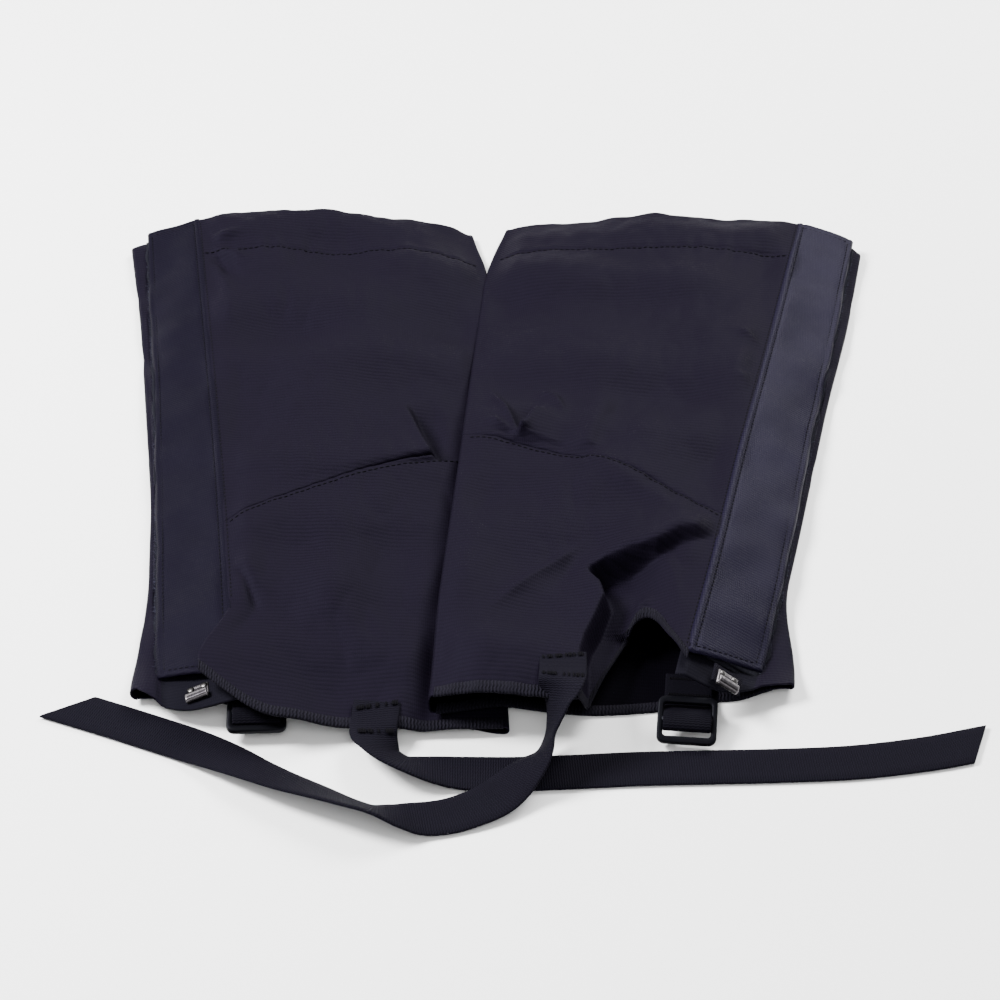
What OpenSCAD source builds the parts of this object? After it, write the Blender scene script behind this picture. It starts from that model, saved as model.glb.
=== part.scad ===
// A pair of knee-high hiking gaiters, closed and lying on their sides on a flat surface.
// The right gaiter lies over the back fold of the left one. Leg openings face +Y, boot openings -Y.
// Each gaiter is drawn in its own frame: u from the back fold to the front, v up the leg, z up.

/* [Gaiter] */
// Length of the back fold, hem to top
leg_h = 400; // [380:1:420]
// Width from the back fold to the flap seam at the top
w_top = 155; // [145:1:165]
// Width from the back fold to the flap seam at the hem
w_hem = 113; // [108:1:118]
// Thickness of the shell cloth
cloth_t = 1.2; // [1:0.1:1.4]
// Height of the flap seam above the surface at the top of the leg
top_z = 17; // [15:1:19]
// Height of the flap seam at the hem, left gaiter
left_hem_z = 18; // [17:1:20]
// Height of the flap seam at the hem, right gaiter
right_hem_z = 25; // [20:1:26]
// Height of the right gaiter's hem arch above the hem line
right_arch = 52; // [10:1:60]
// Height of the left gaiter's hem arch
left_arch = 6; // [2:1:12]
// Extra height of the right gaiter's back fold at the hem
right_puff = 7; // [3:0.5:9]

/* [Front closure] */
// Width of the front flap
flap_w = 29; // [26:1:32]
// How far the front fold stands past the flap's free edge
front_margin = 6; // [5:1:8]
// Height of the flap's bottom edge up the leg
flap_v0 = 30; // [28:1:34]

/* [Straps and buckles] */
// Width of the webbing
web_w = 20; // [18:1:22]
// Thickness of the webbing
web_t = 1.4; // [1.2:0.1:1.6]
// Depth of a slider buckle's frame, along the strap
slider_d = 22; // [21:0.5:23]
// Width of a slider buckle's frame, across the strap
slider_w = 25; // [24.5:0.5:26]

/* [Placing] */
// Back hem corner of the left gaiter, X
left_x = 6; // [4:0.1:8]
// Back hem corner of the right gaiter, X
right_x = -26; // [-27.5:0.1:-25.5]
// Lean of the left gaiter's back fold, degrees
left_lean = 2.5; // [2:0.1:3]
// Lean of the right gaiter's back fold, degrees
right_lean = 5.5; // [5:0.1:6]
// Back hem corner of the left gaiter, Y
left_y = -196; // [-199:1:-195]
// Back hem corner of the right gaiter, Y
right_y = -191; // [-195:1:-189]

/* [Hidden] */

LEFT = 0;
RIGHT = 1;
navy = "#24222f";
flap_navy = "#2b293c";
black = "#15141a";
web_grey = "#1f1d29";
plastic = "#3a3f48";
steel = "#b9bcc2";

// Gaps: between plies of one body, and between bodies
ply_gap = 0.1;
body_gap = 0.35;
lap_gap = 1;
seam_gap = 0.2;
// The back fold, where the two sides of the shell lie on each other
fold_z = 2*cloth_t + seam_gap;
puffs = [1.6, right_puff];
// How far the hem of the upper side sinks to the lower side
droops = [0.85, 0];
seam_v0 = flap_v0;
seam_angle = atan((w_top - w_hem)/(leg_h - seam_v0));
hem_zs = [left_hem_z, right_hem_z];
arches = [left_arch, right_arch];
// Closure plies under the flap: loop tape, hook tape, placket
tape_t = 0.9;
edge_z = 7.2;
front_z = 6.2;
loop_off = cloth_t + ply_gap;
hook_off = loop_off + tape_t + body_gap;
placket_off = hook_off + tape_t + ply_gap;
// Top channel
channel_h = 30;
channel_ply = 0.8;
elastic_t = 1.2;
elastic_h = 20;
// Hem binding
bind_w = 8;
bind_t = 0.8;
bind_gap = 0.3;
// Buckle tab
tab_us = [104.5, 107];
tab_drops = [11, 17];
bar_r = 1.5;
bar_z = 7.5;
slider_t = 3;
slider_tilts = [10, 20];
loop_r = bar_r + 0.35;
// Lace hook
hook_us = [129, 122];
hook_v = 21;
// Number of columns and rows in a panel's grid
cols = 16;
rows = 12;

function smooth(x) = let (c = min(1, max(0, x))) c*c*(3 - 2*c);
function mix(a, b, f) = a + (b - a)*f;
function seam_u(v) = w_hem + (w_top - w_hem)*(v - seam_v0)/(leg_h - seam_v0);
function seam_z(k, v) = mix(hem_zs[k], top_z, (v - seam_v0)/(leg_h - seam_v0));
function front_u(v) = seam_u(v) + flap_w + front_margin;

// Shell height above its base: rises fast from the back fold, then level to the flap seam
function fold_h(k, v) = fold_z + puffs[k]*(1 - 0.8*min(1, max(0, v/leg_h)));
function droop(k, w, v) = droops[k]*(1 - smooth(v/70))*(1 - smooth((w - 0.62)/0.26));
function crown(k, u, v) =
    let (w = min(1, max(0, u/seam_u(v))), f = fold_h(k, v))
    f + (seam_z(k, v) - f)*(1 - pow(1 - w, mix(2.2, 3.2, smooth(v/leg_h))))*(1 - droop(k, w, v));

// The right gaiter's base climbs over the left gaiter's back fold
lap_slope = sin(left_lean) + sin(right_lean);
function lap(v) = max(0, left_x - right_x - v*lap_slope);
lap_v = (left_x - right_x)/lap_slope;
function lift(v) = v < lap_v
    ? crown(LEFT, lap(v), v) + lap_gap + (bind_t + bind_gap)*(1 - smooth((v - bind_w)/12))
    : (fold_h(LEFT, lap_v) + lap_gap)*(1 - smooth((v - lap_v)/80));
function base(k, u, v) = k == LEFT ? 0 : lift(v)*(1 - smooth(u/(lap(v) + 45)));

function shell_z(k, u, v) = base(k, u, v) + crown(k, u, v);
function floor_z(k, u, v) = base(k, u, v) + cloth_t;
// Outer face of the flap, from the seam (f = 0) to its free edge and on to the front fold
function flap_z(k, f, v) = f < 0 ? seam_z(k, v)
    : f < flap_w ? mix(seam_z(k, v), edge_z, f/flap_w)
    : mix(edge_z, front_z, (f - flap_w)/front_margin);

// Edges across the shell, from the back fold w = 0 to the flap seam w = 1
function top_v(w) = leg_h + 6*sin(180*min(1, w));
function ankle_v(u) = 190 - 0.2*u - 0.0024*u*u;
function hem_v(k, u) = 25*smooth((u - 74)/40) + arches[k]*pow(sin(180*min(1, max(0, (u - 64)/50))), 2);
function low_hem_v(u) = let (c = min(u, 119)) 10*smooth(c/35) + 17*pow(c/119, 3);

// Closed sheet between two grids of points: rows run up v, columns along +u, face a outward
module sheet(a, b) {
    n = len(a);
    m = len(a[0]);
    o = n*m;
    function q(i, j) = i*m + j;
    polyhedron(
        points = concat([for (r = a) each r], [for (r = b) each r]),
        faces = concat(
            [for (i = [0:n - 2], j = [0:m - 2]) each [
                [q(i, j), q(i + 1, j), q(i + 1, j + 1)],
                [q(i, j), q(i + 1, j + 1), q(i, j + 1)],
                [o + q(i, j), o + q(i + 1, j + 1), o + q(i + 1, j)],
                [o + q(i, j), o + q(i, j + 1), o + q(i + 1, j + 1)]
            ]],
            [for (j = [0:m - 2]) each [
                [q(0, j), q(0, j + 1), o + q(0, j + 1)],
                [q(0, j), o + q(0, j + 1), o + q(0, j)],
                [q(n - 1, j), o + q(n - 1, j + 1), q(n - 1, j + 1)],
                [q(n - 1, j), o + q(n - 1, j), o + q(n - 1, j + 1)]
            ]],
            [for (i = [0:n - 2]) each [
                [q(i, 0), o + q(i + 1, 0), q(i + 1, 0)],
                [q(i, 0), o + q(i, 0), o + q(i + 1, 0)],
                [q(i, m - 1), q(i + 1, m - 1), o + q(i + 1, m - 1)],
                [q(i, m - 1), o + q(i + 1, m - 1), o + q(i, m - 1)]
            ]]
        )
    );
}

module place(k) {
    if (k == LEFT) translate([left_x, left_y, 0]) rotate([0, 0, left_lean]) mirror([1, 0, 0]) children();
    else translate([right_x, right_y, 0]) rotate([0, 0, -right_lean]) children();
}

// Rows of a panel are closer together near its lower edge
function row_at(i) = pow(i/rows, 1.5);

// Upper side of the shell from the edge lo to the edge hi, lists of v by column, dropped by off
function upper_grid(k, lo, hi, off) = [for (i = [0:rows]) [for (j = [-1:cols])
    let (w = max(0, j)/cols, c = max(0, j), v = mix(lo[c], hi[c], row_at(i)), u = max(off, w*seam_u(v)))
    [u, v, j < 0 ? floor_z(k, 0, v) + seam_gap : shell_z(k, u, v) - off]]];

function lower_grid(k, lo, hi, off) = [for (i = [0:rows]) [for (j = [0:cols])
    let (w = j/cols, v = mix(lo[j], hi[j], row_at(i)), u = w*front_u(v))
    [u, v, base(k, u, v) + off]]];

function across(u_end) = [for (j = [0:cols]) u_end*j/cols];

module strap_side_leg_panel(k) {
    lo = [for (u = across(seam_u(140))) ankle_v(u) + seam_gap/2];
    hi = [for (j = [0:cols]) top_v(j/cols)];
    color(navy) place(k) sheet(upper_grid(k, lo, hi, 0), upper_grid(k, lo, hi, cloth_t));
}

module strap_side_boot_panel(k) {
    lo = [for (u = across(seam_u(seam_v0))) hem_v(k, u)];
    hi = [for (u = across(seam_u(140))) ankle_v(u) - seam_gap/2];
    color(navy) place(k) sheet(upper_grid(k, lo, hi, 0), upper_grid(k, lo, hi, cloth_t));
}

// The left gaiter's lower side is a flat slab, which the pair rests on
function slab_outline(lo, hi) = concat(
    [for (j = [0:cols]) [front_u(lo[j])*j/cols, lo[j]]],
    [for (j = [cols:-1:0]) [front_u(hi[j])*j/cols, hi[j]]]
);

module lower_panel(k, lo, hi) {
    color(navy) place(k)
        if (k == LEFT) linear_extrude(cloth_t) polygon(slab_outline(lo, hi));
        else sheet(lower_grid(k, lo, hi, cloth_t), lower_grid(k, lo, hi, 0));
}

module buckle_side_leg_panel(k) {
    lo = [for (u = across(front_u(120))) ankle_v(u) + seam_gap/2];
    hi = [for (j = [0:cols]) top_v(j/cols)];
    lower_panel(k, lo, hi);
}

module buckle_side_boot_panel(k) {
    lo = [for (u = across(front_u(25))) low_hem_v(u)];
    hi = [for (u = across(front_u(120))) ankle_v(u) - seam_gap/2];
    lower_panel(k, lo, hi);
}

// Band inside the shell: along the lower side to the back, up, and forward under the upper side
back_u = 22;
band_cols = 10;
function band_row(k, v, u_end, low, high) = concat(
    [for (j = [band_cols:-1:0]) let (u = mix(back_u, u_end, j/band_cols)) [u, v, floor_z(k, u, v) + low]],
    [for (j = [0:band_cols]) let (u = mix(back_u, u_end, j/band_cols))
        [u, v, shell_z(k, u, v) - cloth_t - high]]
);

// Narrower band inside another: its outer face is off from the shell
module band(k, v0, v1, inset, off, t) {
    n = 3;
    function row(i, o, d) = let (v = mix(v0, v1, i/n), r = band_row(k, v, seam_u(v) - inset, o, o))
        [for (p = r) [p[0] + (p[0] < back_u + 0.01 ? d : 0), p[1], p[2]]];
    sheet([for (i = [0:n]) row(i, off, off)], [for (i = [0:n]) row(i, off + t, off + t)]);
}

module top_elastic(k) {
    color("white") place(k)
        band(k, leg_h - 25, leg_h - 25 + elastic_h, 12, 0.3, elastic_t);
}

module top_hem(k) {
    color(navy) place(k)
        band(k, leg_h - channel_h, leg_h - 1, 6, elastic_t + 0.5, channel_ply);
}

module ankle_elastic(k) {
    color("white") place(k) band(k, 150, 160, 62, 0.5, 1);
}

// Binding tape folded over the hem of the upper side, on the panel's own columns. It ends one
// column short of the seam, to leave room for the flap's root as it folds back.
module strap_side_binding(k) {
    function wrap(j, off) = let (
            w = j/cols,
            v = hem_v(k, w*seam_u(seam_v0)),
            u = max(2.2, w*seam_u(v)),
            ui = max(2.2, w*seam_u(v + bind_w)),
            z = shell_z(k, u, v),
            zi = shell_z(k, ui, v + bind_w)
        )
        [[ui, v + bind_w, zi + off], [u, v - off, z + off],
            [u, v - off, z - cloth_t - off], [ui, v + bind_w, zi - cloth_t - off]];
    color(black) place(k) sheet(
        [for (j = [0:cols - 1]) wrap(j, bind_gap + bind_t)],
        [for (j = [0:cols - 1]) wrap(j, bind_gap)]
    );
}

// Binding on the lower side: on its inner face and its edge, so that its underside stays level
low_bind_u0 = [14, 2.5];
module buckle_side_binding(k) {
    us = [for (j = [0:cols]) mix(low_bind_u0[k], front_u(25) - front_margin - 1, j/cols)];
    function wrap(u, off) = let (v = low_hem_v(u), z = floor_z(k, u, v), zi = floor_z(k, u, v + bind_w))
        [[u, v + bind_w, zi + off], [u, v - off, z + off], [u, v - off, z - cloth_t + 0.1]];
    color(black) place(k) sheet(
        [for (u = us) wrap(u, bind_gap + bind_t)],
        [for (u = us) wrap(u, bind_gap)]
    );
}

// Strip of the closure at the distances fs from the seam, at a depth off under the flap's outer
// face. Its lower edge rises by slant towards the front fold.
module closure_strip(k, fs, v0, v1, off, t, slant = 0) {
    n = 20;
    function low(f) = v0 + slant*pow(max(0, f)/(flap_w + front_margin), 2);
    function grid(d) = [for (i = [0:n]) [for (f = fs) let (v = mix(low(f), v1, i/n))
        [seam_u(v) + f, v, flap_z(k, f, v) - d]]];
    sheet(grid(off), grid(off + t));
}

module front_flap(k) {
    color(flap_navy) place(k)
        closure_strip(k, [body_gap, 5, 15, 25, flap_w], flap_v0, leg_h + 1, 0, cloth_t);
}

module flap_loop_tape(k) {
    color(black) place(k)
        closure_strip(k, [5, 15, 25, flap_w - 2], flap_v0 + 6, leg_h - 8, loop_off, tape_t);
}

module placket_hook_tape(k) {
    color(black) place(k)
        closure_strip(k, [5, 15, 25, flap_w - 1], flap_v0 + 4, leg_h - 6, hook_off, tape_t);
}

module placket(k) {
    color(black) place(k) closure_strip(k, [-4, 0, 5, 15, 25, flap_w, flap_w + front_margin],
        11, leg_h, placket_off, cloth_t, slant = 11);
}

// Turns its children to lie on the placket's outer face at the lace hook
module on_placket(k) {
    u = hook_us[k];
    f = u - seam_u(hook_v);
    slope = atan((seam_z(k, hook_v) - edge_z)/flap_w);
    translate([u, hook_v, flap_z(k, f, hook_v) - placket_off + ply_gap])
        rotate([0, 0, -seam_angle]) rotate([0, slope, 0]) translate([0, 0, 0.15]) children();
}

patch_t = 0.8;
plate_t = 0.6;
rivet_r = 0.8;
rivet_x = 3;
module hook_patch(k) {
    color(web_grey) place(k) on_placket(k) difference() {
        translate([-7, -6.5, 0]) cube([14, 14, patch_t]);
        for (x = [-rivet_x, rivet_x]) translate([x, 3, -1]) cylinder(r = rivet_r + 0.05, h = 3, $fn = 32);
    }
}

// Steel strip, riveted at the top, that bends out and up again into an open hook
module lace_hook(k) {
    hook_w = 10;
    color(steel) place(k) on_placket(k) translate([0, 0, patch_t + ply_gap]) difference() {
        translate([-hook_w/2, 0, 0]) rotate([90, 0, 90]) linear_extrude(hook_w) union() {
            translate([-3.5, 0]) square([9.5, plate_t]);
            translate([-3.5, 1.9]) difference() {
                circle(r = 1.9, $fn = 48);
                circle(r = 1.9 - plate_t, $fn = 48);
                translate([0, -3]) square([3, 6]);
            }
            translate([-3.5, 3.8 - plate_t]) square([3.6, plate_t]);
        }
        for (x = [-rivet_x, rivet_x]) translate([x, 3, -1]) cylinder(r = rivet_r + 0.05, h = 3, $fn = 32);
    }
}

module lace_hook_rivets(k) {
    color(steel) place(k) on_placket(k) for (x = [-rivet_x, rivet_x]) translate([x, 3, 0.05]) {
        cylinder(r = rivet_r, h = patch_t + plate_t + 0.3, $fn = 32);
        translate([0, 0, patch_t + plate_t + 0.05]) cylinder(r = 1.6, h = 0.6, $fn = 32);
    }
}

// Buckle tab: two plies of webbing that leave the hem, pass under the top bar and loop the centre bar
function tab_v(k) = low_hem_v(tab_us[k]) - tab_drops[k];
module at_tab(k) {
    place(k) translate([tab_us[k], tab_v(k), bar_z]) children();
}

ply_t = 0.8;
sewn_z = cloth_t + bind_gap + bind_t + 0.2;
module buckle_tab(k) {
    r = loop_r + ply_t;
    drop = tab_drops[k];
    end_v = drop + 16;
    color(web_grey) at_tab(k) translate([-web_w/2, 0, 0]) rotate([90, 0, 90]) difference() {
        union() {
            cylinder(r = r, h = web_w, $fn = 64);
            linear_extrude(web_w) polygon([
                [0, 0], [0, loop_r + 0.3], [3.4, 0], [drop - 2, sewn_z + 2*ply_t - bar_z],
                [end_v, sewn_z + 2*ply_t - bar_z], [end_v, sewn_z - bar_z], [drop - 2, sewn_z - bar_z],
                [0, -loop_r - 0.3]
            ]);
        }
        translate([0, 0, -1]) cylinder(r = loop_r, h = web_w + 2, $fn = 64);
    }
}

module tab_bartack(k) {
    color(black) at_tab(k)
        for (v = [tab_drops[k] + 3, tab_drops[k] + 13])
            translate([-web_w/2 + 1, v, sewn_z + 2*ply_t + ply_gap - bar_z]) cube([web_w - 2, 1, 0.4]);
}

// Slider frame with three bars; the centre bar lies in the tab's loop
module slider_buckle(k) {
    corner = 3;
    rail = (slider_w - web_w - 0.8)/2;
    bar_d = 2.8;
    color(plastic) at_tab(k) rotate([slider_tilts[k], 0, 0]) {
        difference() {
            translate([0, 0, -slider_t/2]) linear_extrude(slider_t) hull()
                for (x = [-1, 1], y = [-1, 1])
                    translate([x*(slider_w/2 - corner), y*(slider_d/2 - corner)]) circle(r = corner, $fn = 48);
            translate([-slider_w/2 + rail, -slider_d/2 + bar_d, -slider_t])
                cube([slider_w - 2*rail, slider_d - 2*bar_d, 2*slider_t]);
        }
        translate([-slider_w/2 + rail - 1, 0, 0]) rotate([0, 90, 0])
            cylinder(r = bar_r, h = slider_w - 2*rail + 2, $fn = 64);
    }
}

// Instep straps: a flat ribbon along hand-picked points. Each point has the middle of the ribbon
// and the direction of its width. A strap leaves its root on the hem, turns over on its edge
// once and lies on the surface. The right one crosses over the left one.
routes = [
    [
        [[-51, -179, 9], [1, 0.04, -0.02]],
        [[-50, -188, 8.4], [1, 0.04, -0.01]],
        [[-50, -199, 8], [1, 0.02, 0]],
        [[-49, -206, 7.6], [0.97, 0.15, -0.2]],
        [[-46, -213, 7.4], [0.75, 0.45, -0.5]],
        [[-42, -217, 6.9], [0.55, 0.65, -0.55]],
        [[-36, -220, 5.8], [0.3, 0.82, -0.5]],
        [[-28, -221, 4], [0.15, 0.95, -0.3]],
        [[-18, -221, 2], [0.05, 1, -0.1]],
        [[-6, -221, 0.9], [0, 1, 0]],
        [[10, -221, 0.9], [0, 1, 0]],
        [[30, -220, 0.9], [-0.04, 1, 0]],
        [[60, -218, 0.9], [-0.05, 1, 0]],
        [[90, -217, 0.9], [-0.03, 1, 0]],
        [[120, -216, 0.9], [-0.04, 1, 0]],
        [[150, -214, 0.9], [-0.1, 1, 0]],
        [[180, -209, 0.9], [-0.2, 0.98, 0]],
        [[203, -203, 0.9], [-0.25, 0.97, 0]]
    ],
    [
        [[32, -177, 24.4], [1, -0.1, 0.03]],
        [[31, -187, 25.4], [1, -0.1, 0.03]],
        [[30, -198, 25.9], [1, -0.1, 0.03]],
        [[29, -204, 21.5], [0.95, -0.2, 0.2]],
        [[27, -209, 16], [0.6, -0.65, 0.5]],
        [[24, -213, 12.3], [0.2, -0.78, 0.6]],
        [[21, -218, 9.6], [0.16, -0.8, 0.57]],
        [[16, -224, 7.4], [0.5, -0.78, 0.38]],
        [[9, -230, 4.6], [0.65, -0.75, 0.12]],
        [[2, -237, 3.2], [0.6, -0.8, 0]],
        [[-7, -242, 2], [0.4, -0.9, 0]],
        [[-18, -246, 1.2], [0.2, -1, 0]],
        [[-29, -248, 1.8], [0.05, -1, 0.08]],
        [[-39, -249, 4.6], [0, -0.93, 0.35]],
        [[-49, -248, 7.3], [-0.03, -0.8, 0.6]],
        [[-59, -244, 7.3], [-0.1, -0.8, 0.6]],
        [[-72, -237, 6.4], [-0.25, -0.8, 0.5]],
        [[-85, -230, 5.4], [-0.4, -0.8, 0.4]],
        [[-98, -222, 4.4], [-0.4, -0.85, 0.3]],
        [[-111, -213, 2.8], [-0.42, -0.9, 0.15]],
        [[-126, -204, 1.2], [-0.45, -0.9, 0.02]],
        [[-143, -196, 0.9], [-0.42, -0.9, 0]],
        [[-161, -188, 0.9], [-0.4, -0.9, 0]],
        [[-180, -180, 0.9], [-0.42, -0.9, 0]]
    ]
];
// How far one edge of the free end runs past the other
end_skews = [7, 8];

function unit(v) = v/norm(v);
// Point f of the way from r[i] to r[i + 1] on a smooth curve through the list
function spline(r, i, f) =
    let (n = len(r) - 1, a = r[max(0, i - 1)], b = r[i], c = r[min(n, i + 1)], d = r[min(n, i + 2)])
    0.5*((2*b) + (c - a)*f + (2*a - 5*b + 4*c - d)*f*f + (3*b - a - 3*c + d)*f*f*f);

ribbon_steps = 2;
function ribbon_path(k) = let (r = routes[k], n = len(r) - 1, m = [for (p = r) p[0]], w = [for (p = r) p[1]])
    [for (i = [0:n*ribbon_steps]) let (s = min(n - 1, floor(i/ribbon_steps)), f = i/ribbon_steps - s)
        [spline(m, s, f), unit(spline(w, s, f))]];

// Ribbon along a path: half width hw, thickness t, lifted by off along its normal
module ribbon(path, hw, t, off, skew) {
    n = len(path) - 1;
    function ring(i) = let (
            p = path[i][0],
            tan = unit(path[min(n, i + 1)][0] - path[max(0, i - 1)][0]),
            w = unit(path[i][1] - (path[i][1]*tan)*tan),
            up = cross(w, tan)*-1,
            cut = i == n ? skew*tan : [0, 0, 0]
        )
        [for (c = [[-1, 1], [1, 1], [1, -1], [-1, -1]])
            p + c[0]*(hw*w + cut) + (off + c[1]*t/2)*up];
    rings = [for (i = [0:n]) ring(i)];
    polyhedron(
        points = [for (r = rings) each r],
        faces = concat(
            [[0, 1, 2], [0, 2, 3]],
            [[4*n + 2, 4*n + 1, 4*n], [4*n + 3, 4*n + 2, 4*n]],
            [for (i = [0:n - 1], c = [0:3]) each let (d = (c + 1)%4)
                [[4*i + c, 4*i + 4 + c, 4*i + 4 + d], [4*i + c, 4*i + 4 + d, 4*i + d]]]
        )
    );
}

module instep_strap(k) {
    color(web_grey) ribbon(ribbon_path(k), web_w/2, web_t, 0, end_skews[k]);
}

// Two bars of stitching over the strap's root
module strap_bartack(k) {
    r = routes[k];
    color(black) for (f = [0.2, 1.4]) {
        i = floor(f);
        a = mix(r[i][0], r[i + 1][0], f - i);
        b = a + unit(r[i + 1][0] - r[i][0]);
        w = r[i][1];
        ribbon([[a, w], [b, w]], web_w/2 - 1, 0.4, web_t/2 + 0.7, 0);
    }
}

strap_side_leg_panel(LEFT);  // left_strap_side_leg_panel
buckle_side_leg_panel(LEFT);  // left_buckle_side_leg_panel
strap_side_boot_panel(LEFT);  // left_strap_side_boot_panel
buckle_side_boot_panel(LEFT);  // left_buckle_side_boot_panel
top_hem(LEFT);  // left_top_hem
top_elastic(LEFT);  // left_top_elastic
ankle_elastic(LEFT);  // left_ankle_elastic
strap_side_binding(LEFT);  // left_strap_side_binding
buckle_side_binding(LEFT);  // left_buckle_side_binding
front_flap(LEFT);  // left_front_flap
flap_loop_tape(LEFT);  // left_flap_loop_tape
placket(LEFT);  // left_placket
placket_hook_tape(LEFT);  // left_placket_hook_tape
hook_patch(LEFT);  // left_hook_patch
lace_hook(LEFT);  // left_lace_hook
lace_hook_rivets(LEFT);  // left_lace_hook_rivets
instep_strap(LEFT);  // left_instep_strap
strap_bartack(LEFT);  // left_strap_bartack
buckle_tab(LEFT);  // left_buckle_tab
tab_bartack(LEFT);  // left_tab_bartack
slider_buckle(LEFT);  // left_slider_buckle
strap_side_leg_panel(RIGHT);  // right_strap_side_leg_panel
buckle_side_leg_panel(RIGHT);  // right_buckle_side_leg_panel
strap_side_boot_panel(RIGHT);  // right_strap_side_boot_panel
buckle_side_boot_panel(RIGHT);  // right_buckle_side_boot_panel
top_hem(RIGHT);  // right_top_hem
top_elastic(RIGHT);  // right_top_elastic
ankle_elastic(RIGHT);  // right_ankle_elastic
strap_side_binding(RIGHT);  // right_strap_side_binding
buckle_side_binding(RIGHT);  // right_buckle_side_binding
front_flap(RIGHT);  // right_front_flap
flap_loop_tape(RIGHT);  // right_flap_loop_tape
placket(RIGHT);  // right_placket
placket_hook_tape(RIGHT);  // right_placket_hook_tape
hook_patch(RIGHT);  // right_hook_patch
lace_hook(RIGHT);  // right_lace_hook
lace_hook_rivets(RIGHT);  // right_lace_hook_rivets
instep_strap(RIGHT);  // right_instep_strap
strap_bartack(RIGHT);  // right_strap_bartack
buckle_tab(RIGHT);  // right_buckle_tab
tab_bartack(RIGHT);  // right_tab_bartack
slider_buckle(RIGHT);  // right_slider_buckle
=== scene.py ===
"""A pair of hiking gaiters lying on their sides: cloth, trims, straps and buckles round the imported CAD.

Each gaiter has its own frame, in millimetres: u from the back fold to the front, v up the leg, z up.
f is the distance past the flap's seam, so u = seam_u(v) + f. w is the share of the way from the back fold
to that seam. k is LEFT or RIGHT, and a pair of values followed by [k] has the left gaiter's first."""
import math

import bpy
import numpy as np
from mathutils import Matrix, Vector


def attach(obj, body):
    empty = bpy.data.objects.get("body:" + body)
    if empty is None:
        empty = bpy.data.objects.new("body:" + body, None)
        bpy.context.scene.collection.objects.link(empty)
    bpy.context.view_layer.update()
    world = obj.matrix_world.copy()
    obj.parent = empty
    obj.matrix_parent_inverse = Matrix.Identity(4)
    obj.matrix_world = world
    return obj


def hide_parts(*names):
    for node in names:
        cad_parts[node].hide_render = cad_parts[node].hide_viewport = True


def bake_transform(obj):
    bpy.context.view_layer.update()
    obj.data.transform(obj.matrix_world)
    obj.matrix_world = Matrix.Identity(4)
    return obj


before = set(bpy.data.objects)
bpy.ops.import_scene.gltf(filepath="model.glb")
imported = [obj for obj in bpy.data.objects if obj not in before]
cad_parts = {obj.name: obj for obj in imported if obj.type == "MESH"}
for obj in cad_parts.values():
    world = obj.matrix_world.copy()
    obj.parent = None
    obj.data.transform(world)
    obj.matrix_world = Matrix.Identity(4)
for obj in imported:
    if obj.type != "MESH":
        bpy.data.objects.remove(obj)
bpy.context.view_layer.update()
LEFT, RIGHT = 0, 1
SIDES = ("left", "right")

# ---- sizes, the same as the CAD's ----
LEG_H, W_TOP, W_HEM, TOP_Z = 400, 155, 113, 17
HEM_Z = (18, 25)
PUFF = (1.6, 7)
DROOP = (0.85, 0)
ARCH = (6, 52)
SEAM_V0, FLAP_V0, FLAP_W, MARGIN = 30, 30, 29, 6
CLOTH, EDGE_Z, FRONT_Z = 1.2, 7.2, 6.2
PLACKET_OFF = 3.55
FOLD_Z = 2.6
PLACE = ((6, -196, 2.5), (-26, -191, -5.5))
WEB_W, WEB_T = 20, 1.4
TAB_U, TAB_DROP, TAB_TILT, BAR_Z, BAR_R = (104.5, 107), (11, 17), (10, 20), 7.5, 1.5
HOOK_US, HOOK_V = (129, 122), 21
# ---- sizes of the visual model's own ----
SHELL_T, FLAP_T, PLACKET_T, TAPE_T = 0.7, 0.9, 0.8, 0.9
LOW_INSIDE = 0.85  # height of the lower side's inner face over what it lies on
LOOP_TAPE_OFF, HOOK_TAPE_OFF = 1.15, 2.35  # depth of each tape's outer face under the flap's
CORNER_SHIFT, CORNER_RISE = 13.5, 5  # how far the left hem's front corner moves over the flap, and up
CHANNEL_H = 35  # from the leg opening to the stitch row of its channel
MM = 0.001


def smooth(x):
    c = np.clip(x, 0, 1)
    return c * c * (3 - 2 * c)


def mix(a, b, f):
    return a + (b - a) * f


def seam_u(v):
    return W_HEM + (W_TOP - W_HEM) * (v - SEAM_V0) / (LEG_H - SEAM_V0)


SEAM_LEAN = (W_TOP - W_HEM) / (LEG_H - SEAM_V0)


def seam_z(k, v):
    return mix(HEM_Z[k], TOP_Z, (v - SEAM_V0) / (LEG_H - SEAM_V0))


def front_u(v):
    return seam_u(v) + FLAP_W + MARGIN


def fold_h(k, v):
    return FOLD_Z + PUFF[k] * (1 - 0.8 * np.clip(v / LEG_H, 0, 1))


def crown(k, u, v):
    w = np.clip(u / seam_u(v), 0, 1)
    f = fold_h(k, v)
    droop = DROOP[k] * (1 - smooth(v / 70)) * (1 - smooth((w - 0.62) / 0.26))
    return f + (seam_z(k, v) - f) * (1 - (1 - w) ** mix(2.2, 3.2, smooth(v / LEG_H))) * (1 - droop)


LAP_SLOPE = math.sin(math.radians(PLACE[0][2])) - math.sin(math.radians(PLACE[1][2]))
LAP_V = (PLACE[0][0] - PLACE[1][0]) / LAP_SLOPE


def lap(v):
    return np.maximum(0, PLACE[0][0] - PLACE[1][0] - v * LAP_SLOPE)


def lift(v):
    low = crown(LEFT, lap(v), v) + 1 + 1.1 * (1 - smooth((v - 8) / 12))
    return np.where(v < LAP_V, low, (fold_h(LEFT, LAP_V) + 1) * (1 - smooth((v - LAP_V) / 80)))


def base(k, u, v):
    return 0 * u * v if k == LEFT else lift(v) * (1 - smooth(u / (lap(v) + 45)))


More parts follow.
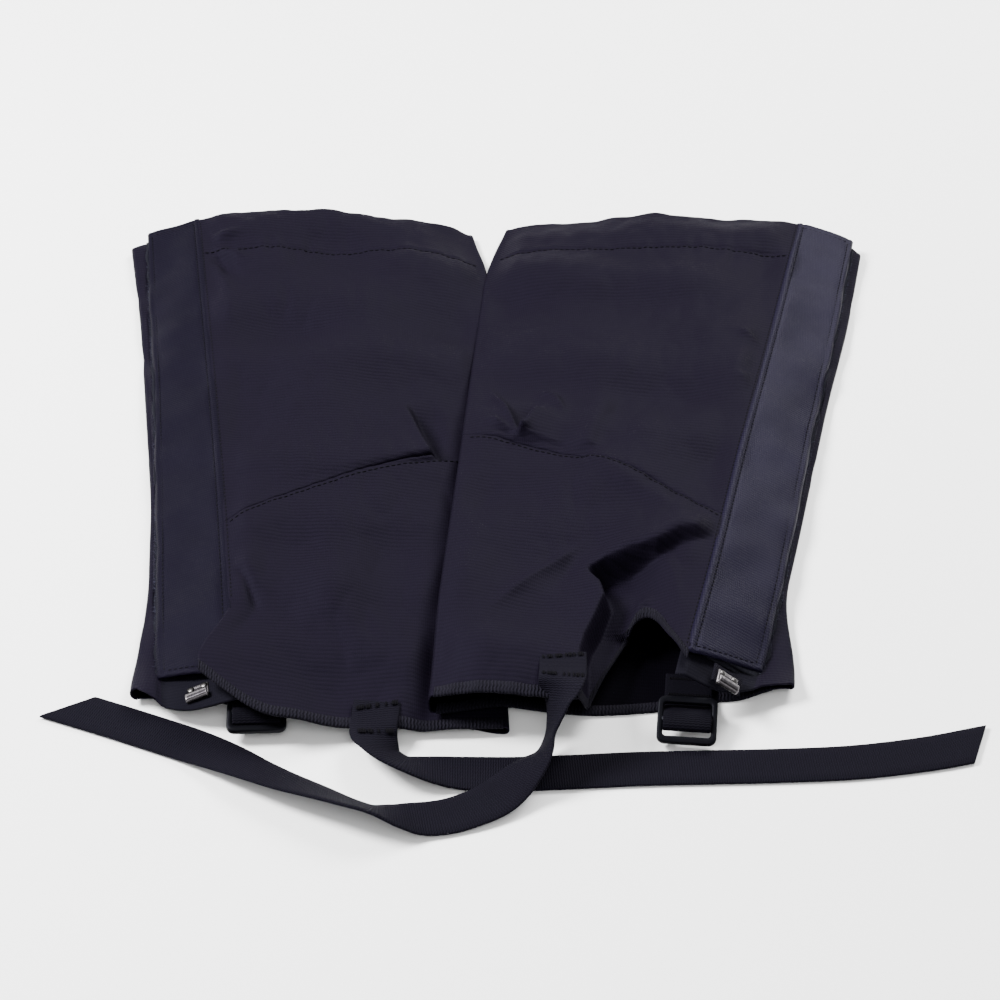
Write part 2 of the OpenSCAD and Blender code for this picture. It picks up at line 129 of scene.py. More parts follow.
def flap_z(k, f, v):
    inner = mix(seam_z(k, v), EDGE_Z, f / FLAP_W)
    outer = mix(EDGE_Z, FRONT_Z, (f - FLAP_W) / MARGIN)
    return np.where(f < 0, seam_z(k, v), np.where(f < FLAP_W, inner, outer))


def top_v(w):
    return LEG_H + 6 * np.sin(math.pi * np.minimum(1, w))


def low_top_v(u):
    w = u / front_u(LEG_H)
    return top_v(w) - 7 * smooth((w - 0.8) / 0.2)


def ankle_v(u):
    return 190 - 0.2 * u - 0.0024 * u * u


def hem_v(k, u):
    if k == LEFT:
        return 27 * smooth((u - 86) / 36)
    return 25 * smooth((u - 74) / 40) + ARCH[k] * np.sin(math.pi * np.clip((u - 64) / 50, 0, 1)) ** 1.6


def low_hem_v(u, k=LEFT):
    c = np.minimum(u, 119)
    return 10 * smooth(c / 35) + 17 * (c / 119) ** 3 + (0, 7)[k] * smooth((u - 116) / 32)


# How far the cloth's lines stand off the stiff CAD's, by height: back fold, flap seam, flap edge, front fold
BACK_OFF = ([(0, 0), (250, 0), (300, -3), (358, -6), (383, -2), (400, 2)],
            [(0, 0), (60, -3), (170, -6), (280, -10), (352, -12), (386, -8), (406, -4)])
SEAM_OFF = ([(30, 2.5), (75, 0.8), (150, -1.5), (230, -3), (400, -5)],
            [(30, -7), (100, -5.5), (185, -5), (281, -3), (400, -1.4)])
EDGE_OFF = ([(30, 5.5), (86, 3.7), (160, 0), (242, -2.8), (400, -6)],
            [(30, -6), (82, -3.4), (204, -2.9), (320, -1), (400, -0.5)])
FRONT_OFF = ([(30, 9), (63, 5), (91, 0), (165, -4.6), (321, -6), (400, -4)],
             [(0, 2), (45, 2), (62, -2), (94, -9), (124, -8), (249, -6), (319, -3), (400, -3)])


def track(points, v):
    """Smooth line through a few given (height, offset) points."""
    x, y = zip(*points)
    return sum(np.interp(v + d, x, y) * 0.2 for d in (-14, -7, 0, 7, 14))


def corner_turn(k, w, v):
    """0 to 1: how far the left hem's front corner is turned over the flap."""
    down = np.clip((67 - v) / 35, 0, 1)
    return (k == LEFT) * smooth((w - 0.6) / 0.4) * (0.7 * down + 0.3 * smooth(down))


def warp(k, u, v, lower=False, panel=False):
    """Sideways shift of the cloth at u, v. Without lower or panel it is that of the flap and what it covers."""
    u, v = np.broadcast_arrays(np.asarray(u, float), np.asarray(v, float))
    back, seam, edge, front = (track(t[k], v) for t in (BACK_OFF, SEAM_OFF, EDGE_OFF, FRONT_OFF))
    w = u / seam_u(v)
    behind = back * (1 - smooth(w / 0.45))
    if lower:
        return behind + front * smooth((u / front_u(v) - 0.3) / 0.7)
    if panel:
        return behind + seam * smooth((w - 0.3) / 0.7) + corner_turn(k, w, v) * CORNER_SHIFT
    f = u - seam_u(v)
    on_flap = mix(seam, edge, np.clip(f / FLAP_W, 0, 1)) + (front - edge) * smooth((f - FLAP_W) / MARGIN)
    return np.where(f > 0, on_flap, behind + seam * smooth((w - 0.3) / 0.7))


def place(k, u, v, z):
    """Points of gaiter k's own frame, in millimetres, to the shared frame in metres."""
    x0, y0, lean = PLACE[k]
    c, s = math.cos(math.radians(lean)), math.sin(math.radians(lean))
    x = -u if k == LEFT else u
    return np.stack(np.broadcast_arrays(x0 + x * c - v * s, y0 + x * s + v * c, z), -1) * MM


def soft(k, u, v, z, lower=False, panel=False):
    """The same for points of the cloth, which is shifted a little from the stiff CAD."""
    return place(k, u + warp(k, u, v, lower, panel), v, z)


# ---- camera and light ----
def aim(obj, at):
    obj.rotation_euler = (Vector(at) - obj.location).to_track_quat("-Z", "Y").to_euler()


target = Vector((0.003, -0.033, 0))
elevation, distance = math.radians(37), 1.156
add_object = bpy.context.scene.collection.objects.link
camera = bpy.data.objects.new("camera", bpy.data.cameras.new("camera"))
add_object(camera)
bpy.context.scene.camera = camera
camera.location = target + Vector((0, -math.cos(elevation), math.sin(elevation))) * distance
aim(camera, target)
camera.data.lens, camera.data.sensor_width = 88.2, 36
camera.data.clip_start = 0.01


def area_light(name, where, size, power):
    data = bpy.data.lights.new(name, "AREA")
    data.shape, data.size, data.energy = "DISK", size, power
    obj = bpy.data.objects.new(name, data)
    obj.location = where
    add_object(obj)
    aim(obj, (0, 0, 0))


area_light("key", (-1.15, 0.15, 1.15), 0.6, 105)
area_light("fill", (0.75, 1.05, 1.2), 0.9, 62)
area_light("front", (0.1, -1.3, 1.3), 1.2, 12)
world = bpy.data.worlds.new("world")
bpy.context.scene.world = world
world.use_nodes = True
background = world.node_tree.nodes["Background"]
background.inputs["Color"].default_value = (1, 1, 1, 1)
background.inputs["Strength"].default_value = 0.6


# ---- materials ----
class Shader:
    """Small builder for a material of one Principled shader."""

    def __init__(self, name, rough, spec, metal=0.0, gloss=(1, 1, 1)):
        self.mat = bpy.data.materials.new(name)
        self.mat.use_nodes = True
        self.tree = self.mat.node_tree
        self.bsdf = self.tree.nodes["Principled BSDF"]
        for key, value in (("Roughness", rough), ("Specular IOR Level", spec), ("Metallic", metal)):
            self.bsdf.inputs[key].default_value = value
        self.bsdf.inputs["Specular Tint"].default_value = (*gloss, 1)
        uv = self.tree.nodes.new("ShaderNodeUVMap")
        split = self.tree.nodes.new("ShaderNodeSeparateXYZ")
        self.link(uv.outputs[0], split.inputs[0])
        self.u, self.v, self.uv = split.outputs[0], split.outputs[1], uv.outputs[0]

    def link(self, a, b):
        self.tree.links.new(a, b)

    def math(self, op, *values):
        node = self.tree.nodes.new("ShaderNodeMath")
        node.operation = op
        for socket, value in zip(node.inputs, values):
            if isinstance(value, (int, float)):
                socket.default_value = value
            else:
                self.link(value, socket)
        return node.outputs[0]

    def times(self, a, b):
        return self.math("MULTIPLY", a, b)

    def total(self, first, *rest):
        for value in rest:
            first = self.math("ADD", first, value)
        return first

    def noise(self, scale, detail, stretch=(1, 1, 1)):
        mapping = self.tree.nodes.new("ShaderNodeMapping")
        mapping.inputs["Scale"].default_value = stretch
        self.link(self.uv, mapping.inputs[0])
        node = self.tree.nodes.new("ShaderNodeTexNoise")
        node.inputs["Scale"].default_value = scale
        node.inputs["Detail"].default_value = detail
        self.link(mapping.outputs[0], node.inputs["Vector"])
        return node.outputs[0]

    def wave(self, coord, pitch, shift=0.0):
        """Up to 1 and back to 0 once every pitch millimetres."""
        sine = self.math("SINE", self.math("MULTIPLY_ADD", coord, math.tau / pitch, shift))
        return self.math("MULTIPLY_ADD", sine, 0.5, 0.5)

    def color(self, low, high, factor):
        node = self.tree.nodes.new("ShaderNodeMix")
        node.data_type = "RGBA"
        self.link(factor, node.inputs[0])
        node.inputs[6].default_value = (*low, 1)
        node.inputs[7].default_value = (*high, 1)
        self.link(node.outputs[2], self.bsdf.inputs["Base Color"])

    def bump(self, height, depth_mm):
        node = self.tree.nodes.new("ShaderNodeBump")
        node.inputs["Distance"].default_value = depth_mm * MM
        self.link(height, node.inputs["Height"])
        self.link(node.outputs[0], self.bsdf.inputs["Normal"])


def tint(color, f):
    return tuple(c * f for c in color)


def shell_material(name, color, rough, spec, rib, ribs_mm):
    """Woven nylon: faint crosswise ribs of strength rib, a fine weave and uneven patches."""
    s = Shader(name, rough, spec, gloss=(0.62, 0.56, 1.0))
    ribs = s.wave(s.v, ribs_mm, s.times(s.noise(0.02, 2), 5.0))
    weave = s.times(s.wave(s.u, 0.8), s.wave(s.v, 0.8))
    fine = s.times(s.noise(1.6, 2, (1, 3, 1)), 0.5)
    patchy = s.times(s.noise(0.03, 4), 0.6)
    s.color(tint(color, 0.55), tint(color, 1.25), s.total(s.times(ribs, rib), patchy, fine))
    s.bump(s.total(s.times(ribs, 0.5), s.times(weave, 0.5), fine), 0.14)
    return s.mat


def ribbed_material(name, color, pitch, along=True, depth=0.3):
    """Webbing or tape with a rib every pitch millimetres along its length, or across it."""
    s = Shader(name, 0.85, 0.06, gloss=(0.75, 0.7, 1.0))
    a, b = (s.v, s.u) if along else (s.u, s.v)
    rib = s.wave(a, pitch, s.times(s.wave(b, pitch * 2), 1.6))
    grain = s.noise(0.8, 3)
    s.color(tint(color, 0.45), tint(color, 1.5), s.total(s.times(rib, 0.6), s.times(grain, 0.35)))
    s.bump(s.total(rib, s.times(grain, 0.4)), depth)
    return s.mat


NAVY = (0.0031, 0.0023, 0.0048)
shell_mat = shell_material("shell_cloth", NAVY, 0.66, 0.036, 0.9, 2.3)
# one cloth for both flaps: the left's copy is darker for painted shade, the right's brighter and bluer for a painted
# satin sheen
flap_mats = (shell_material("flap_cloth_left_painted_shade", (0.0027, 0.0021, 0.0048), 0.62, 0.034, 0.12, 1.7),
             shell_material("flap_cloth_right_painted_sheen", (0.0036, 0.0026, 0.0084), 0.48, 0.056, 0.12, 1.7))
lining_mat = shell_material("lining", (0.0032, 0.0030, 0.0045), 0.85, 0.05, 0.2, 2.0)
# a much darker copy of the shell cloth for the gaiters' inside faces: painted shade
inside_shade_mat = shell_material("inside_painted_shade", (0.0011, 0.0009, 0.0016), 0.8, 0.012, 0.3, 2.3)
binding_mat = ribbed_material("binding_tape", (0.0048, 0.0043, 0.0066), 1.5, along=False)
web_mat = ribbed_material("webbing", (0.0028, 0.0024, 0.0044), 1.05, depth=0.22)
tab_mat = ribbed_material("tab_webbing", (0.0015, 0.0013, 0.0024), 1.05, depth=0.22)
elastic_mat = ribbed_material("elastic", (0.55, 0.55, 0.53), 1.6)
pile = Shader("hook_and_loop", 0.95, 0.05)
pile.color((0.002, 0.002, 0.003), (0.010, 0.010, 0.015), pile.noise(0.9, 5))
pile.bump(pile.noise(1.4, 4), 0.6)
fibre = Shader("pile_fibres", 0.9, 0.1)
fibre.color((0.01, 0.01, 0.018), (0.06, 0.06, 0.09), fibre.noise(3.0, 2))
thread = Shader("thread", 0.7, 0.03)
thread.color((0.0008, 0.0007, 0.001), (0.0028, 0.0024, 0.0042), thread.noise(2.0, 2))
plastic = Shader("buckle_plastic", 0.42, 0.05, gloss=(0.8, 0.8, 1.0))
plastic.color((0.0010, 0.0010, 0.0016), (0.0026, 0.0026, 0.0036), plastic.noise(0.4, 4))
plastic.bump(plastic.noise(3.0, 3), 0.03)
steel = Shader("steel", 0.3, 0.5, metal=1.0)
steel.color((0.03, 0.028, 0.028), (0.12, 0.115, 0.115), steel.noise(1.2, 3, (1, 8, 1)))
steel.bump(steel.noise(2.0, 3, (1, 10, 1)), 0.03)
# the lace hook's face is dark, with painted highlights on its long edges, its ends and the crest of its bend
hook_glint = Shader("steel_painted_highlights", 0.38, 0.5, metal=1.0)
glint_mask = hook_glint.math("GREATER_THAN", hook_glint.u, 4.3)
for low, high in ((-0.01, 0.06), (0.66, 0.74), (0.94, 1.01)):
    band = hook_glint.times(hook_glint.math("GREATER_THAN", hook_glint.v, low), hook_glint.math("LESS_THAN", hook_glint.v, high))
    glint_mask = hook_glint.math("MAXIMUM", glint_mask, band)
hook_glint.color((0.010, 0.009, 0.011), (0.12, 0.112, 0.118), hook_glint.total(hook_glint.times(hook_glint.noise(0.9, 4), 0.25),
                                                                   hook_glint.times(glint_mask, 0.8)))
hook_glint.bump(hook_glint.noise(1.2, 4), 0.2)
floor_mat = bpy.data.materials.new("floor")
floor_mat.use_nodes = True
floor_bsdf = floor_mat.node_tree.nodes["Principled BSDF"]
floor_bsdf.inputs["Base Color"].default_value = (0.97, 0.97, 0.97, 1)
floor_bsdf.inputs["Roughness"].default_value = 0.9


# ---- mesh helpers: a grid is an array of rows of points in metres, a part is its vertices, faces and uvs ----
def add_mesh(name, parts, mat):
    """One object made of all the parts."""
    faces, count = [], 0
    for verts, part_faces, _ in parts:
        faces += [[int(i) + count for i in face] for face in part_faces]
        count += len(verts)
    uvs = np.concatenate([uv for _, _, uv in parts])
    mesh = bpy.data.meshes.new(name)
    mesh.from_pydata(np.concatenate([verts for verts, _, _ in parts]).tolist(), [], faces)
    layer = mesh.uv_layers.new(name="UVMap")
    layer.data.foreach_set("uv", uvs[[i for face in faces for i in face]].ravel())
    mesh.shade_smooth()
    mesh.materials.append(mat)
    mesh.update()
    obj = bpy.data.objects.new(name, mesh)
    add_object(obj)
    return obj


def unit(a):
    return a / np.maximum(1e-12, np.linalg.norm(a, axis=-1, keepdims=True))


def arc(path):
    """Distance along the path at each of its points."""
    return np.concatenate([[0], np.cumsum(np.linalg.norm(np.diff(path, axis=0), axis=1))])


def sample(points, s, at):
    """The line of points at the distances at, where s is each point's own distance."""
    return np.stack([np.interp(at, s, points[:, c]) for c in range(3)], -1)


def quads(n, m, off, flip):
    i = (np.arange(n - 1)[:, None] * m + np.arange(m - 1)[None, :]).ravel() + off
    f = np.stack([i, i + 1, i + m + 1, i + m], -1)
    return f[:, ::-1] if flip else f


def thick(P, t_mm, UV, up=True):
    """Closed sheet that reaches t_mm down from the grid P, or up from it."""
    n, m, _ = P.shape
    N = unit(np.cross(np.gradient(P, axis=1), np.gradient(P, axis=0)))
    flip = (N[..., 2].mean() < 0) == up
    if flip:
        N = -N
    Q = P - N * t_mm * MM
    o = n * m
    rim = []
    for line, turn in ((range(0, o, m), True), (range(m - 1, o, m), False), (range(m), False),
                       (range(o - m, o), True)):
        for a, b in zip(line, line[1:]):
            q = [a, b, b + o, a + o]
            rim.append(q[::-1] if turn == flip else q)
    faces = np.concatenate([quads(n, m, 0, flip), quads(n, m, o, not flip), np.array(rim)])
    return np.concatenate([P.reshape(-1, 3), Q.reshape(-1, 3)]), faces, np.concatenate([UV.reshape(-1, 2)] * 2)


def loft(rings, UV=0.0, caps=True):
    """Tube through rings of points, an array (rings, points, 3), with its ends closed or joined to each other."""
    n, m, _ = rings.shape
    faces = [[i * m + j, i * m + (j + 1) % m, (i + 1) * m + (j + 1) % m, (i + 1) * m + j]
             for i in range(n - 1) for j in range(m)]
    if caps:
        faces += [list(range(m))[::-1], [(n - 1) * m + j for j in range(m)]]
    return rings.reshape(-1, 3), faces, np.broadcast_to(UV, (n, m, 2)).reshape(-1, 2)


# a stitch's rings: share of its length, radius and rise as shares of the thread's radius
STITCH = ((0, 0.3, -0.2), (0.18, 0.9, 0.1), (0.5, 1.0, 0.25), (0.82, 0.9, 0.1), (1, 0.3, -0.2))


def stitch_row(path, up, pitch=3.0, length=2.1, radius=0.26, sink=0.05):
    """Parts: short thread capsules along a path on the cloth, with the cloth's outward direction up."""
    up, s = unit(up), arc(path)
    ang = np.linspace(0, math.tau, 6, endpoint=False)
    parts = []
    for i in range(int(s[-1] / (pitch * MM))):
        at, half = (i + 0.5) * pitch * MM, length / 2 * MM
        a, b = sample(path, s, at - half), sample(path, s, at + half)
        n = unit(sample(up, s, at))
        side = np.cross(n, unit(b - a))
        ring = np.cos(ang)[:, None] * side * 1.15 + np.sin(ang)[:, None] * n * 0.8
        rings = np.array([a + (b - a) * f + n * (h * radius - sink) * MM + ring * radius * r * MM
                          for f, r, h in STITCH])
        parts.append(loft(rings, i))
    return parts


# ---- folds ----
def waves(seed, count, low, high):
    """Smooth random field of u and v: waves of lengths low to high mm, mean 0, spread about 1."""
    r = np.random.default_rng(seed)
    ang, lam = r.uniform(0, math.pi, count), r.uniform(low, high, count)
    phase = r.uniform(0, math.tau, count)
    kx, ky = math.tau / lam * np.cos(ang), math.tau / lam * np.sin(ang)

    def field(u, v):
        total = 0 * u * v
        for a, b, p in zip(kx, ky, phase):
            total = total + np.sin(a * u + b * v + p)
        return total * math.sqrt(2 / count)

    return field


broad = waves(3, 14, 45, 110)
middle = waves(5, 16, 18, 40)
small = waves(9, 18, 7, 14)


def line_field(u, v, pts):
    """Signed distance to a line of points (positive to its right), and the place along it, 0 to 1."""
    pts = np.array(pts, float)
    lengths = np.linalg.norm(np.diff(pts, axis=0), axis=1)
    total, start = lengths.sum(), 0
    best = np.full(np.shape(u * v), 1e9)
    sign, along = np.ones_like(best), np.zeros_like(best)
    for (a, b), l in zip(zip(pts, pts[1:]), lengths):
        d = (b - a) / l
        t = np.clip(((u - a[0]) * d[0] + (v - a[1]) * d[1]), 0, l)
        du, dv = u - a[0] - t * d[0], v - a[1] - t * d[1]
        dist = np.hypot(du, dv)
        closer = dist < best
        best = np.where(closer, dist, best)
        sign = np.where(closer, np.where(du * d[1] - dv * d[0] > 0, 1, -1), sign)
        along = np.where(closer, (start + t) / total, along)
        start += l
    return best * sign, along


def fold_line(u, v, pts, ends):
    """Distance to the fold's line, and a factor that fades to 0 over a share of the line at each end."""
    d, along = line_field(u, v, pts)
    return d, smooth(along / ends[0]) * smooth((1 - along) / ends[1])


def ridge(u, v, pts, height, width, ends=(0.35, 0.35)):
    """Round fold, or a valley if height is below 0."""
    d, fade = fold_line(u, v, pts, ends)
    return height * fade * np.exp(-(d / width) ** 2)


def crease(u, v, pts, height, width, ends=(0.35, 0.35)):
    """Sharp fold, or a sharp valley."""
    d, fade = fold_line(u, v, pts, ends)
    return height * fade * np.exp(-1.3 * (np.sqrt((d / width) ** 2 + 0.02) - 0.141))


def tuck(u, v, pts, height, high_w, low_w, depth, ends):
    """Fold edge: cloth rises slowly to the line from its left and drops sharply on its right."""
    d, fade = fold_line(u, v, pts, ends)
    left = np.exp(np.minimum(0, d) / high_w * 1.2)
    x = np.maximum(0, d) / low_w
    right = (1 + depth) * (1 - smooth(x / 0.35)) - depth * np.exp(-(x * 0.8) ** 2)
    return height * fade * np.where(d < 0, left, right)


def under_ankle(u, v):
    """Right gaiter: the cloth under the fold at the ankle sinks, deepest beside the strap's root."""
    line = np.interp(u, (50, 59, 69, 80, 94, 105, 116, 126), (84, 89, 96, 99.5, 103, 110.5, 114.5, 117))
    rim = np.interp(v, (8, 30, 40, 54, 67, 78, 89, 96), (64, 62, 63, 67, 70, 67, 60, 57))
    below = smooth((line - v) / 6.5)
    deep = 1 - smooth((u - 80) / 30)
    near = np.exp(-np.maximum(0, line - v - 4) / 17) * smooth((126 - u) / 7)
    depth = 12.5 * np.maximum(deep, mix(0.75, 0.4, smooth((u - 78) / 36)) * near) * smooth((u - rim) / 5)
    ledge = 2.0 * np.exp(-(((v - line - 3) / 6) ** 2)) * smooth((u - 52) / 10) * smooth((127 - u) / 8)
    return ledge - depth * below


# The upper side's folds, each with the points (u, v) of its line, its height, its width and how its ends fade
FOLDS = (
    ((tuck, [(42, 232), (37, 214), (32, 195), (27, 180)], 4.8, 30, 15, 1.1, (0.4, 0.1)),
     (ridge, [(20, 236), (18, 205), (22, 180)], 1.8, 6, (0.5, 0.2)),
     (crease, [(117, 96), (111, 87), (107, 75), (104, 64)], -3.2, 2.6, (0.2, 0.4)),
     (ridge, [(122, 118), (113, 92), (113, 60)], 1.8, 7, (0.4, 0.3)),
     (ridge, [(76, 160), (70, 110), (74, 45)], 2.2, 13),
     (ridge, [(96, 150), (92, 100), (94, 45)], -1.6, 12),
     (ridge, [(50, 165), (46, 110), (54, 35)], -2.0, 13),
     (ridge, [(40, 330), (70, 290), (90, 230)], 1.1, 14),
     (ridge, [(100, 340), (118, 280), (112, 200)], -1.0, 12),
     *((ridge, line, height, 3.4, (0.15, 0.6)) for line, height in (
         ([(146, 371), (120, 354)], 3.4), ([(145, 363), (124, 336)], -2.6),
         ([(144, 356), (132, 318)], 2.6), ([(146, 378), (124, 385)], 2.4)))),
    ((crease, [(8, 240), (14, 218), (25, 188)], 4.2, 2.8, (0.4, 0.04)),
     (crease, [(7, 203), (13, 199), (25, 188)], 2.6, 2.4, (0.4, 0.06)),
     (tuck, [(33, 216), (29, 204), (25, 187)], 5.0, 12, 8, 0.9, (0.4, 0.05)),
     (crease, [(27, 233), (37, 224), (43, 206)], 3.6, 3.6, (0.3, 0.4)),
     (crease, [(126, 247), (136, 231)], 2.4, 3.0),
     (crease, [(124, 287), (139, 271)], 2.0, 3.0),
     (ridge, [(54, 250), (57, 215), (53, 176)], 2.6, 7, (0.6, 0.1)),
     (ridge, [(73, 240), (69, 205), (62, 172)], -1.8, 9, (0.6, 0.2)),
     (ridge, [(51, 175), (75, 152), (112, 124)], 2.0, 7, (0.12, 0.2)),
     (crease, [(60, 112), (39, 84), (28, 65), (16, 43)], 3.8, 6, (0.3, 0.5)),
     (ridge, [(78, 132), (50, 92), (32, 30)], -1.6, 12),
     (under_ankle,),
     (crease, [(85, 52), (88, 68), (97, 77)], 4.5, 6, (0.01, 0.5)),
     (ridge, [(58, 92), (69, 67), (61, 38)], 1.2, 5, (0.3, 0.3)),
     (ridge, [(140, 330), (118, 290), (90, 275)], 1.0, 10),
     (ridge, [(132, 250), (112, 215), (100, 170)], 1.2, 10)))


def bell(x, width):
    return np.exp(-((x / width) ** 2))


def over_lap(u, v):
    """Rise of the right gaiter's back where it crosses the left gaiter's edge."""
    return 2.2 * (1 - smooth(u / 30)) * smooth(v / 60) * smooth((LAP_V + 20 - v) / 60)


def folds(k, u, v):
    """Extra height of the upper side of the shell."""
    w = u / seam_u(v)
    covered = smooth((u - (lap(v) if k == LEFT else 0)) / 14)
    z = 1.8 * broad(u + 300 * k, v) + 0.3 * np.abs(middle(u + 170 * k, v * 0.7)) + 0.06 * small(u + 90 * k, v)
    # top channel: its stitch row pulls in and the elastic puckers the cloth
    d = v - top_v(w) + CHANNEL_H
    pucker = np.sin(math.tau * (u + 5 * np.sin(u / 17 + k)) / 13) + 0.6 * np.sin(math.tau * u / 7.3 + 2)
    z = z - 1.0 * bell(d, 1.6) + 0.26 * pucker * bell(d, 9) + 0.9 * bell(v - top_v(w) + 16, 12)
    # ankle seam
    d = v - ankle_v(u)
    gather = np.sin(math.tau * (u + 4 * np.sin(u / 11)) / 8.5)
    z = z - (0.3, 0.7)[k] * bell(d, 1.4) + 0.16 * gather * bell(d, 7)
    for shape, *values in FOLDS[k]:
        z = z + shape(u, v, *values)
    z = z * smooth((1 - w) / 0.10) * covered * smooth(u / 6)
    if k == RIGHT:
        return z + over_lap(u, v)
    # the left hem lies low in front of the strap's root, and its corner turns over the flap
    z = z - 8.5 * bell(u - 95, 13) * (1 - smooth(v / 52)) + CORNER_RISE * corner_turn(k, w, v)
    return z - 1.4 * bell(u - lap(v) - 3, 8) * smooth((LAP_V - v) / 40)


def upper_z(k, u, v):
    return base(k, u, v) + crown(k, u, v) + folds(k, u, v)


def curl(k, u, v):
    """How far the front fold's bottom corner rolls up off the floor."""
    return (2.0, 6.0)[k] * smooth((u - front_u(v) + 22) / 18) * (1 - smooth((v - 16) / 40))


def low_z(k, u, v):
    """Inner face of the lower side, which lies on the floor or on the other gaiter."""
    rise = over_lap(u, v) if k == RIGHT else 0
    return base(k, u, v) + rise + curl(k, u, v) + LOW_INSIDE


def flap_top(k, f, v):
    """Outer face of the flap or of the front fold past it, with its gentle waves."""
    calm = smooth(f / 5) * (1 - 0.5 * smooth((f - FLAP_W) / 4))
    return flap_z(k, f, v) + calm * (0.45 * broad(f * 2 + 40 * k, v * 1.2) + 0.18 * middle(f + 9, v))


# ---- the shell's panels ----
def back_fold(k, vs, z_up, upper):
    """Columns round the back fold, from its middle to the upper or the lower side."""
    z_low = low_z(k, 0 * vs, vs) - LOW_INSIDE
    mid, r = (z_up + z_low) / 2, (z_up - z_low) / 2
    turns = [math.radians(a) for a in np.linspace(90, 15 if upper else 165, 6)]
    U = np.stack([0.9 - np.minimum(r, 1.9) * math.sin(t) for t in turns], 1)
    return U, np.stack([vs] * len(turns), 1), np.stack([mid + r * math.cos(t) for t in turns], 1)


def panel_grid(k, lo, hi, rows, cols, upper):
    """Columns run from the back fold to the seam, or to the front fold, and rows from the edge lo to the edge hi."""
    edge_of = seam_u if upper else front_u
    w = mix(0.012, 1, np.linspace(0, 1, cols))
    U, V = [], []
    for f in np.arange(rows) / (rows - 1):
        u = w * edge_of(200)
        for _ in range(3):
            v = mix(lo(u), hi(u), f)
            u = w * edge_of(v)
        U.append(u)
        V.append(v)
    U, V = np.array(U), np.array(V)
    Z = upper_z(k, U, V) if upper else low_z(k, U, V) - LOW_INSIDE
    fold = back_fold(k, V[:, 0], upper_z(k, U[:, 0], V[:, 0]), upper)
    return [np.concatenate(pair, 1) for pair in zip(fold, (U, V, Z))]


def cloth_part(k, U, V, Z, t, up, lower, panel):
    return thick(soft(k, U, V, Z, lower, panel), t, np.stack([U, V], -1), up)


def add_cloth(name, k, U, V, Z, t, mat, up=True, panel=False):
    obj = add_mesh(name, [cloth_part(k, U, V, Z, t, up, not up, panel)], mat)
    if mat == shell_mat:  # the inside, the second layer of faces, gets a much darker copy of the cloth: painted shade
        layer = (U.shape[0] - 1) * (U.shape[1] - 1)
        index = np.zeros(len(obj.data.polygons), int)
        index[layer:2 * layer] = 1
        obj.data.materials.append(inside_shade_mat)
        obj.data.polygons.foreach_set("material_index", index)
    return obj


def outward(p, a, b):
    """Direction up and off the cloth at its points p, whose neighbours are a and b."""
    n = unit(np.cross(a - p, b - p))
    return np.where(n[..., 2:] < 0, -n, n)


def on_upper(k, u, v, off=0.0):
    """Points off the upper side, and its outward directions there."""
    p, a, b = (soft(k, u - du, v + dv, upper_z(k, u - du, v + dv), panel=True)
               for du, dv in ((0, 0), (0.6, 0), (0, 0.6)))
    n = outward(p, a, b)
    return p + n * off * MM, n


def flap_low(k, f):
    """The flap's slanted lower edge."""
    return FLAP_V0 + mix((-5, 0)[k], (4, 11)[k], np.clip(f / FLAP_W, 0, 1))


def on_flap(k, f, v, sink=0.15):
    """Points in the flap's outer face, and its outward directions there."""
    p, a, b = (soft(k, seam_u(v + dv) + f + df, v + dv, flap_top(k, f + df, v + dv) - sink)
               for df, dv in ((0, 0), (1, 0), (0, 1)))
    return p, outward(p, a, b)


def past(k, f, v):
    """The cloth stands up a little past the flap's edge."""
    return smooth((f - FLAP_W + 3) / 4) * (1.1 + 0.5 * broad(f + 70 * k, v * 1.5) + 0.2 * middle(f * 2, v))


def fibres(name, k, count, f0, f1, ends, off, reach, seed):
    """Short bent fibres that stand out of a tape's edge."""
    r = np.random.default_rng(seed)
    parts = []
    for _ in range(count):
        f, v = r.uniform(f0, f1), r.uniform(*ends)
        d = np.array([r.uniform(0.3, 1.0), r.uniform(-0.9, 0.9), r.uniform(-0.2, 0.6)])
        d = d * r.uniform(0.4, 1.0) * reach
        bend = r.uniform(-0.4, 0.4, 3) * reach
        root = np.array([seam_u(v) + f, v, float(flap_top(k, f, v)) - off - r.uniform(0, 0.8)])
        shift = float(warp(k, root[0], v))
        pts = [root + d * t + bend * t * t for t in (0, 0.35, 0.7, 1.0)]
        pts = np.array([place(k, p[0] + shift, p[1], p[2]) for p in pts])
        t = unit(pts[-1] - pts[0])
        s = unit(np.cross(t, r.normal(size=3)))
        n = np.cross(t, s)
        rings = np.array([[p + (s * math.cos(a) + n * math.sin(a)) * w * MM for a in (0, 2.1, 4.2)]
                          for p, w in zip(pts, (0.07, 0.07, 0.06, 0.03))])
        parts.append(loft(rings, r.uniform(0, 40)))
    return add_mesh(name, parts, fibre.mat)


# a hem binding's section: millimetres in from the edge, and up from the cloth
BINDING = ((5.2, 0.1), (4.8, 0.5), (2.6, 0.62), (0.2, 0.5), (-0.5, 0.05), (-0.6, -0.5), (-0.2, -1.1), (2.6, -1.3),
           (5.2, -1.0))


def binding(name, k, us, edge, z_of, lower):
    """Binding of the hem edge(u) of the side of the shell whose height is z_of(k, u, v)."""
    back, h = np.array(BINDING).T[:, :, None]
    v = edge(us) + np.maximum(0, back)
    ribs = 0.1 * np.sin(math.tau * us / 1.6) * np.where(h > 0, 1, 0.3)
    P = soft(k, us, v + np.minimum(0, back), z_of(k, us, v) + h + ribs, lower, not lower)
    UV = np.stack(np.broadcast_arrays(arc(P[3]) / MM, back), -1)
    return add_mesh(name, [thick(P, 0.35, UV)], binding_mat)


